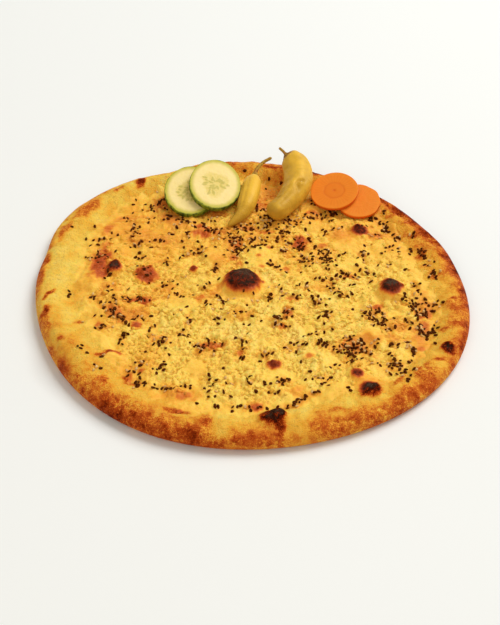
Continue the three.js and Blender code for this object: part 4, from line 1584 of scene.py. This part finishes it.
@dataclass(frozen=True)
class Slice:
    """A round slice that leans on the rim.

    Width runs across, length up the slope, and tilt and roll are in degrees, as on the solid that
    it stands for, whose box gives its middle.
    """

    node: str
    name: str
    width: float
    length: float
    thickness: float
    tilt: float
    roll: float
    seed: int
    bevel: float = 0.35
    bulge: float = 0.12
    cells: int = 96

    def middle(self) -> Array:
        """The middle of the solid that the slice stands for, in mm."""
        low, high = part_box(self.node)
        return (np.array(low) + np.array(high)) / 2 / MM

    def outline(self, angle: Array) -> Array:
        """The outline as a share of its radius."""
        return 1 + 0 * angle

    def relief(self, u: Array, v: Array) -> Array:
        """How far the cut face stands off flat, in mm."""
        return 0 * u

    def marks(self, u: Array, v: Array, depth: Array) -> dict[str, Array]:
        """What the finish reads at each point, from its place across, along and below the face."""
        raise NotImplementedError

    def profile(self) -> list[tuple[float, float]]:
        """The side from the cut face down: a quarter circle, then a slight belly.

        Returns:
            How far out from the face's edge, and at what height, each ring lies.
        """
        half, bevel = self.thickness / 2, self.bevel
        side = self.thickness - 2 * bevel
        turns = [math.radians(turn) for turn in (30, 60, 90)]
        rings = [(bevel * math.sin(turn), half - bevel * (1 - math.cos(turn))) for turn in turns]
        for drop in (0.25, 0.5, 0.75, 1.0):
            belly = self.bulge * math.sin(math.pi * drop)
            rings.append((bevel + belly, half - bevel - drop * side))
        return rings

    def placed(self, local: Array) -> Array:
        """Turns points about Y by the roll, then about X by the tilt, and moves them into place.

        Args:
            local: points from the slice's middle, in mm.

        Returns:
            The points in the bread's frame, in mm.
        """
        roll, tilt = math.radians(self.roll), math.radians(self.tilt)
        u, v, w = np.moveaxis(local, -1, 0)
        x = u * math.cos(roll) + w * math.sin(roll)
        w = w * math.cos(roll) - u * math.sin(roll)
        y = v * math.cos(tilt) - w * math.sin(tilt)
        z = v * math.sin(tilt) + w * math.cos(tilt)
        return np.stack([x, y, z], axis=-1) + self.middle()

    def make(self) -> bpy.types.Object:
        """Builds the mesh: a cut face, a rounded side and the face below.

        Returns:
            The new object.
        """
        share, angle = round_grid(self.cells)
        half = self.thickness / 2
        reach = share * self.outline(angle)
        u = reach * (self.width / 2 - self.bevel) * np.cos(angle)
        v = reach * (self.length / 2 - self.bevel) * np.sin(angle)
        draft = Draft()
        loop = draft.grid(np.stack([u, v, half + self.relief(u, v)], axis=-1))
        flat = draft.points()[loop][:, :2]
        outward = flat / np.linalg.norm(flat, axis=1, keepdims=True)
        levels = [(flat + outward * out, height) for out, height in self.profile()]
        levels += [(flat * part, -half) for part in (1.0, 0.92, 0.7, 0.45, 0.2)]
        rings = [np.hstack([at, np.full((len(at), 1), height)]) for at, height in levels]
        last = draft.skirt(loop, np.array(rings))
        draft.pole(last, np.array([0.0, 0.0, -half]))
        local = draft.points()
        marks = self.marks(local[:, 0], local[:, 1], half - local[:, 2])
        draft.blocks = [self.placed(local)]
        return draft.build(self.name, marks)


@dataclass(frozen=True)
class CucumberSlice(Slice):
    """A slice of cucumber with its skin on and a core of three seed chambers."""

    core: float = 0.48
    seeds: int = 33
    thick_rind: tuple = ((235.0, 0.035, 65.0),)

    def outline(self, angle: Array) -> Array:
        """Nearly round, with the slight flats of a cucumber."""
        return 1 + 0.008 * np.cos(3 * angle + self.seed) + 0.005 * np.cos(7 * angle + 2 * self.seed)

    def shares(self, u: Array, v: Array) -> tuple[Array, Array]:
        """The share of the radius and the angle of places on the face."""
        across, along = u / (self.width / 2), v / (self.length / 2)
        return np.hypot(across, along), np.arctan2(along, across)

    def chambers(self, u: Array, v: Array) -> Array:
        """The core: a disc with three lobes, soft at its edge.

        Args:
            u: places across, in mm.
            v: places up the slope, in mm.

        Returns:
            The share of core.
        """
        share, angle = self.shares(u, v)
        lobes = self.core * (1 + 0.14 * np.cos(3 * (angle + self.seed)))
        ragged = 0.04 * Pattern(self.seed).layers(u, v, 3.0, 2)
        return smooth(0.07, -0.07, share - lobes + ragged)

    def seed_cover(self, u: Array, v: Array) -> Array:
        """The seeds cut through: pointed ovals that lie along rays from the middle.

        Args:
            u: places across, in mm.
            v: places up the slope, in mm.

        Returns:
            The share of seed.
        """
        chance = np.random.default_rng(self.seed)
        cover = np.zeros(np.shape(u))
        for number in range(self.seeds):
            chamber = number % 3
            turn = -self.seed + chamber * 2 * np.pi / 3 + chance.uniform(-0.9, 0.9)
            reach = chance.uniform(0.12, 0.52) * self.width / 2
            lean = turn + chance.uniform(-0.6, 0.6)
            halves = (chance.uniform(1.4, 2.5), chance.uniform(0.75, 1.25))
            middle = (reach * math.cos(turn), reach * math.sin(turn))
            along, across = oval(u, v, middle, halves, lean)
            share = np.hypot(along, across * (1 + 0.3 * along))
            cover = np.maximum(cover, smooth(1.25, 0.65, share))
        return cover

    def relief(self, u: Array, v: Array) -> Array:
        """A softly uneven face out of which the seeds stand."""
        soft = 0.08 * Pattern(self.seed).layers(u, v, 4.0, 3)
        return soft + 0.22 * self.seed_cover(u, v)

    def marks(self, u: Array, v: Array, depth: Array) -> dict[str, Array]:
        """Core, seeds, green rind and dark skin.

        Args:
            u: places across, in mm.
            v: places up the slope, in mm.
            depth: how far below the cut face, in mm.

        Returns:
            The marks by name.
        """
        share, angle = self.shares(u, v)
        edge = share + 0.014 * Pattern(self.seed).layers(u, v, 4.0, 3)
        edge = edge + bells(angle, self.thick_rind)
        face = smooth(0.25, 0.1, depth)
        below = smooth(self.thickness - 0.3, self.thickness - 0.1, depth)
        cut = np.maximum(face, below)
        return {
            "core": self.chambers(u, v) * cut,
            "seed": self.seed_cover(u, v) * cut,
            "rind": smooth(0.78, 0.97, edge) * 0.85,
            "skin": np.maximum(smooth(0.975, 1.0, edge), 1 - cut) * smooth(0.88, 0.93, share),
        }


@dataclass(frozen=True)
class CarrotSlice(Slice):
    """A slice of peeled carrot: flats from the peeler, a deeper core and a dimple in the middle."""

    flats: tuple = ()
    flat_depth: float = 0.035
    flat_width: float = 14.0
    core: float = 0.42
    core_depth: float = 1.0

    def outline(self, angle: Array) -> Array:
        """Round, with the peeler's flats."""
        cuts = [(flat, self.flat_depth, self.flat_width) for flat in self.flats]
        return 1 + 0.006 * np.cos(5 * angle + self.seed) - bells(angle, cuts)

    def radius_share(self, u: Array, v: Array) -> Array:
        """The share of the radius of places on the face."""
        return np.hypot(u / (self.width / 2), v / (self.length / 2))

    def relief(self, u: Array, v: Array) -> Array:
        """A soft saw-cut face, sunk along the core's edge, with a dimple in the middle.

        Args:
            u: places across, in mm.
            v: places up the slope, in mm.

        Returns:
            How far it stands off flat, in mm.
        """
        share = self.radius_share(u, v)
        seam = np.exp(-(((share - self.core) / 0.05) ** 2))
        dimple = 0.3 * np.exp(-((share / 0.05) ** 2))
        soft = 0.06 * Pattern(self.seed).layers(u, v, 5.0, 3)
        return soft - self.core_depth * (0.1 * seam + dimple)

    def marks(self, u: Array, v: Array, depth: Array) -> dict[str, Array]:
        """Core, the seam round it with fine rays, and the peeled outside.

        Args:
            u: places across, in mm.
            v: places up the slope, in mm.
            depth: how far below the cut face, in mm.

        Returns:
            The marks by name.
        """
        share = self.radius_share(u, v)
        angle = np.arctan2(v, u)
        wobble = 0.02 * Pattern(self.seed).layers(u, v, 4.0, 3)
        rays = 0.5 + 0.5 * np.sin(34 * angle + 30 * wobble)
        seam = np.exp(-(((share + wobble - self.core) / 0.045) ** 2))
        dimple = np.exp(-((share / 0.07) ** 2))
        between = smooth(self.core, self.core + 0.1, share) * smooth(0.95, 0.75, share)
        return {
            "core": self.core_depth * smooth(self.core + 0.1, self.core - 0.1, share + wobble),
            "seam": np.clip(self.core_depth * (0.5 * seam + dimple) + 0.22 * rays * between, 0, 1),
            "peel": smooth(0.3, 0.9, depth) * smooth(0.93, 0.97, share),
        }


@dataclass(frozen=True)
class Pepper:
    """A pickled pepper: a soft bent body with creases and dents, and a thin stem.

    A station of the body is x, y and z in mm from the low corner of the box of the solid that it
    stands for, and the half width there. A crease is an angle round the body in degrees, a width,
    a depth as a share of the radius, the stretch of body that it runs along, and how far it turns.
    A dent is a share of the body, an angle, how far it reaches along and around, and a depth.
    Ripeness is how yellow it is at the tip and at the stem, and collar how far the stem flares.
    """

    node: str
    name: str
    stations: tuple
    bluntness: float
    stem: tuple
    stem_radius: float
    creases: tuple
    dents: tuple
    seed: int
    rings: int = 220
    sides: int = 120
    stem_rings: int = 40
    stem_sides: int = 20
    squash: float = 0.93
    stem_taper: float = 0.15
    ripeness: tuple = (0.0, 1.0)
    collar: float = 1.3

    def curve(self, points: tuple, share: Array) -> tuple[Array, Array]:
        """A smooth curve through points, counted evenly from one point to the next.

        Between two points it is the cubic that leaves each along the line through its neighbours.

        Args:
            points: the points to pass, from the low corner of the solid's box, in mm.
            share: places on the curve, from 0 to 1.

        Returns:
            Its points, with any fourth number carried along, and its unit directions.
        """
        nodes = np.array(points, float)
        nodes[:, :3] += np.array(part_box(self.node)[0]) / MM
        before, after = 2 * nodes[0] - nodes[1], 2 * nodes[-1] - nodes[-2]
        before[3:], after[3:] = nodes[0, 3:], nodes[-1, 3:]
        padded = np.vstack([before, nodes, after])
        place = share * (len(nodes) - 1)
        at = np.minimum(place.astype(int), len(nodes) - 2)
        t = (place - at)[:, None]
        p0, p1, p2, p3 = (padded[at + step] for step in range(4))
        bend, twist = 2 * p0 - 5 * p1 + 4 * p2 - p3, 3 * p1 - p0 - 3 * p2 + p3
        line = 0.5 * (2 * p1 + (p2 - p0) * t + bend * t**2 + twist * t**3)
        way = (p2 - p0 + 2 * bend * t + 3 * twist * t**2)[:, :3]
        return line, way / np.linalg.norm(way, axis=1, keepdims=True)

    def shape(self, share: Array, angle: Array) -> tuple[Array, Array]:
        """The body's radius as a share of its half width, and how shaded each place is.

        Two rounded ends and three soft lobes, then the creases and dents taken away as bell curves,
        with fine wrinkles all over.

        Args:
            share: places along the body, from 0 to 1.
            angle: angles round it, in radians.

        Returns:
            The radius and the shade, from 0 to 1.
        """
        ends = np.sqrt(np.clip(1 - np.abs(2 * share - 1) ** self.bluntness, 0, 1))
        degrees = np.degrees(angle)
        cut = np.zeros(np.broadcast(share, angle).shape)
        shade = cut + 0.0
        for middle, wide, depth, start, end, drift in self.creases:
            stretch = smooth(start, start + 0.15, share) * smooth(end, end - 0.15, share)
            groove = angle_bump(degrees, middle + drift * (share - start), wide) * stretch
            cut += depth * groove
            shade += 4.0 * depth * groove
        for place, middle, long, wide, depth in self.dents:
            hollow = np.exp(-(((share - place) / long) ** 2)) * angle_bump(degrees, middle, wide)
            cut += depth * hollow
            shade += 3.0 * depth * hollow
        wrinkle = Pattern(self.seed).layers(share * 60 + 0 * angle, angle * 9 + 0 * share, 7.0, 3)
        lobes = 1 + 0.045 * np.cos(3 * angle + self.seed + 1.6 * share)
        return ends * (lobes - cut + 0.022 * wrinkle), np.clip(shade, 0, 1)

    def tube(self, draft: Draft, points: tuple, share: Array, radius: Array, squash: float) -> int:
        """Adds a closed body: rings round a curve with a pole at each end.

        Args:
            draft: where it is added.
            points: the curve's points.
            share: places of the rings on the curve.
            radius: the radius at each ring and angle, in mm.
            squash: the height as a share of the width.

        Returns:
            How many points it added.
        """
        start = draft.count
        angle = 2 * np.pi * np.arange(radius.shape[1]) / radius.shape[1]
        line, way = self.curve(points, share)
        side = np.cross(way, np.array([0.0, 0.0, 1.0]))
        side /= np.linalg.norm(side, axis=1, keepdims=True)
        across, over = radius * np.cos(angle), radius * squash * np.sin(angle)
        rings = line[:, None, :3] + side[:, None] * across[..., None]
        rings = rings + np.cross(side, way)[:, None] * over[..., None]
        first = draft.add(rings[0])
        last = draft.skirt(first, rings[1:])
        tips = self.curve(points, np.array([0.0, 1.0]))[0]
        draft.pole(first[::-1], tips[0, :3])
        draft.pole(last, tips[1, :3])
        return draft.count - start

    @staticmethod
    def shares(count: int) -> Array:
        """Places along a curve that crowd towards its ends: half of 1 minus the cosine."""
        return (1 - np.cos(np.pi * np.arange(1, count) / count)) / 2

    def stem_shape(self) -> Array:
        """The stem's radius at each ring and angle: five ridges, a collar and a wider cut end.

        Returns:
            The radius in mm, shaped (rings, sides).
        """
        share = self.shares(self.stem_rings)
        flare = 1 + self.collar * np.exp(-((share / 0.14) ** 2)) + 0.3 * smooth(0.86, 0.97, share)
        ends = np.sqrt(np.clip(1 - np.abs(2 * share - 1) ** 8, 0, 1))
        ridge = 1 + 0.1 * np.cos(5 * 2 * np.pi * np.arange(self.stem_sides) / self.stem_sides)
        slim = self.stem_radius * (1 - self.stem_taper * share) * flare * ends
        return slim[:, None] * ridge

    def make(self) -> bpy.types.Object:
        """Builds the body and its stem as one object.

        Returns:
            The new object.
        """
        draft = Draft()
        share = self.shares(self.rings)
        angle = 2 * np.pi * np.arange(self.sides) / self.sides
        radius, shade = self.shape(share[:, None], angle[None])
        half = self.curve(self.stations, share)[0][:, 3:]
        count = self.tube(draft, self.stations, share, radius * half, self.squash)
        added = self.tube(draft, self.stem, self.shares(self.stem_rings), self.stem_shape(), 1.0)
        root = self.curve(self.stem, np.array([0.25]))[0][0]
        near = np.linalg.norm(draft.points() - root, axis=1) / self.stem_radius
        body = np.arange(draft.count) < count
        reach = 1.8 + 2.3 * self.collar
        husk = np.where(body, smooth(reach, 0.5 * reach, near), 0.6 + 0.4 * smooth(0.8, 2.2, near))
        ripe = np.interp(smooth(0.0, 0.7, share), (0, 1), self.ripeness)
        marks = {
            "shade": np.concatenate([shade.ravel(), np.zeros(2 + added)]),
            "ripe": np.concatenate([np.repeat(ripe, self.sides), [0.0, 1.0], np.ones(added)]),
            "stalk": np.where(body, 0.6, 1.0) * husk,
        }
        return draft.build(self.name, marks)


# ---------------------------------------------------------------- studio


@dataclass(frozen=True)
class Studio:
    """A pale floor, soft light from above and behind, and the camera.

    A lamp is its name, its place and size in metres, its power in watts and its colour.
    """

    look_at: tuple = (0.002, -0.0215, 0.0)
    distance: float = 0.88
    elevation: float = 42.0
    lens: float = 66.9
    sensor: float = 36.0
    lamps: tuple = (
        ("key_light", (2.0, 1.5, 3.0), 2.4, 124.0, (1.0, 0.985, 0.95)),
        ("front_fill", (-1.0, -2.6, 2.0), 2.4, 28.0, (1.0, 0.88, 0.72)),
    )

    def floor(self) -> None:
        """A wide pale floor under the bread."""
        draft = Draft()
        line = np.array([-3000.0, 3000.0])
        x, y = np.meshgrid(line, line, indexing="ij")
        draft.grid(np.stack([x, y, 0 * x - 0.05], axis=-1))
        piece = draft.build("studio_floor", {})
        recipe = Recipe("studio_floor_finish")
        colour = recipe.mix(recipe.noise(400.0), tone("eef3f6"), tone("f0f5f8"))
        piece.data.materials.append(recipe.finish({"Base Color": colour, "Roughness": 0.9}))

    def light(self, name: str, place: tuple, size: float, power: float, colour: tuple) -> None:
        """A square soft light that faces the bread.

        Args:
            name: the lamp's name.
            place: where it hangs, in metres.
            size: its side, in metres.
            power: its power, in watts.
            colour: its colour.
        """
        lamp = bpy.data.lights.new(name, "AREA")
        lamp.shape = "SQUARE"
        lamp.size = size
        lamp.energy = power
        lamp.color = colour
        piece = bpy.data.objects.new(name, lamp)
        bpy.context.scene.collection.objects.link(piece)
        piece.location = place
        aim = Vector(self.look_at) - Vector(place)
        piece.rotation_euler = aim.to_track_quat("-Z", "Y").to_euler()

    def world(self) -> None:
        """An even white sky."""
        world = bpy.data.worlds.new("studio_sky")
        world.use_nodes = True
        sky = world.node_tree.nodes["Background"]
        sky.inputs["Color"].default_value = (1.0, 0.92, 0.8, 1.0)
        sky.inputs["Strength"].default_value = 0.4
        bpy.context.scene.world = world

    def camera(self) -> None:
        """The camera, in front of the bread and above it."""
        lens = bpy.data.cameras.new("studio_camera")
        lens.lens = self.lens
        lens.sensor_width = self.sensor
        lens.sensor_fit = "AUTO"
        piece = bpy.data.objects.new("studio_camera", lens)
        bpy.context.scene.collection.objects.link(piece)
        lift = math.radians(self.elevation)
        away = Vector((0.0, -math.cos(lift), math.sin(lift))) * self.distance
        piece.location = Vector(self.look_at) + away
        piece.rotation_euler = (math.radians(90.0 - self.elevation), 0.0, 0.0)
        bpy.context.scene.camera = piece

    def make(self) -> None:
        """Sets up the whole studio."""
        self.camera()
        self.floor()
        self.world()
        for lamp in self.lamps:
            self.light(*lamp)
        bpy.context.scene.view_settings.view_transform = "Standard"


# ---------------------------------------------------------------- assembly


CUCUMBERS = (
    CucumberSlice("cucumber_slice_under", "cucumber_slice_low", 43, 52, 4, 14, 1, 3),
    CucumberSlice("cucumber_slice_over", "cucumber_slice_high", 42.4, 51, 4, 16, 6, 8),
)
CARROTS = (
    CarrotSlice(
        "carrot_slice_under", "carrot_slice_low", 36, 36, 3, 11, -2, 4,
        flats=(-28, 14, 52), core_depth=0.3,
    ),
    CarrotSlice("carrot_slice_over", "carrot_slice_high", 39.5, 39, 3, 13, -8, 6),
)
PEPPERS = (
    Pepper(
        node="pepper_small",
        name="pickled_pepper_small",
        stations=(
            (0.4, 0.2, 2.4, 4.4),
            (10.9, 12.7, 4.8, 5.6),
            (15.7, 24.2, 7.6, 7.5),
            (19.3, 43.2, 9.2, 8.4),
            (21.3, 58.7, 10.3, 8.5),
        ),
        bluntness=3.2,
        stem=((21.3, 55.7, 10.8), (23.5, 64.2, 12.4), (28.8, 71.6, 14.3), (36.3, 76.2, 16.4)),
        stem_radius=1.5,
        creases=((100.0, 14.0, 0.07, 0.25, 0.95, 25.0), (150.0, 18.0, 0.08, 0.0, 0.8, 0.0)),
        dents=((0.5, 70.0, 0.05, 30.0, 0.08), (0.62, 120.0, 0.04, 20.0, -0.05)),
        seed=21,
    ),
    Pepper(
        node="pepper_large",
        name="pickled_pepper_large",
        stations=(
            (2.6, 2.5, 9.1, 11.6),
            (13.6, 15.5, 8.7, 9.4),
            (24.7, 35.3, 11.1, 11.6),
            (26.7, 51.8, 12.7, 12.0),
            (23.5, 66.8, 14.6, 11.2),
            (18.2, 76.3, 14.8, 9.4),
        ),
        bluntness=5.5,
        stem=((17.4, 71.3, 18.6), (14.2, 74.2, 21.0), (10.8, 76.7, 22.9)),
        stem_radius=1.2,
        creases=(
            (140.0, 20.0, 0.07, 0.1, 0.95, 10.0),
            (58.0, 14.0, 0.06, 0.3, 0.95, -12.0),
            (100.0, 15.0, -0.05, 0.05, 0.98, -14.0),
            (70.0, 10.0, 0.05, -0.1, 0.36, 30.0),
        ),
        dents=(
            (0.405, 60.0, 0.014, 9.0, 0.12),
            (0.392, 71.0, 0.014, 9.0, 0.14),
            (0.374, 80.0, 0.016, 8.0, 0.14),
            (0.352, 78.0, 0.016, 8.0, 0.12),
            (0.334, 68.0, 0.014, 9.0, 0.13),
            (0.318, 57.0, 0.014, 9.0, 0.1),
            (0.365, 61.0, 0.016, 10.0, -0.09),
            (0.2, 128.0, 0.01, 16.0, 0.12),
            (0.12, 112.0, 0.06, 22.0, 0.08),
            (0.84, 40.0, 0.1, 22.0, 0.07),
            (0.93, 150.0, 0.05, 30.0, 0.1),
        ),
        seed=34,
        collar=2.6,
        ripeness=(0.3, 0.7),
    ),
)


def dress(piece: bpy.types.Object, finish: bpy.types.Material, slot: str, *nodes: str) -> None:
    """Gives a piece its finish, rides it on the part's body and reports it.

    Args:
        piece: the new piece.
        finish: its material.
        slot: not used.
        nodes: the solids that it stands for.
    """
    piece.data.materials.append(finish)
    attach(piece, "root")
    if nodes:
        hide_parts(*nodes)
    log.info("%s: %d faces", piece.name, len(piece.data.polygons))


def main() -> None:
    """Builds the bread, its topping, the garnish and the studio, in that order."""
    logging.basicConfig(level=logging.INFO, format="%(name)s %(message)s")
    form = BreadForm()
    cheese = CheeseFinish().make()
    dress(Bread(form).make(), DoughFinish().make(), "baked_dough", "bread")
    dress(Cheese(form).make(), cheese, "baked_cheese", "cheese_layer")
    dress(Crumbs(form).make(), cheese, "baked_cheese")
    for kind, piece in Seeds(form).make().items():
        dress(piece, SEED_FINISHES[kind].make(), kind.slot)
    garnish = (
        (CucumberFinish(), "cucumber", CUCUMBERS),
        (CarrotFinish(), "carrot", CARROTS),
        (PepperFinish(), "pickled_pepper", PEPPERS),
    )
    for finish, slot, pieces in garnish:
        material = finish.make()
        for piece in pieces:
            dress(piece.make(), material, slot, piece.node)
    Studio().make()


if __name__ == "__main__":
    main()
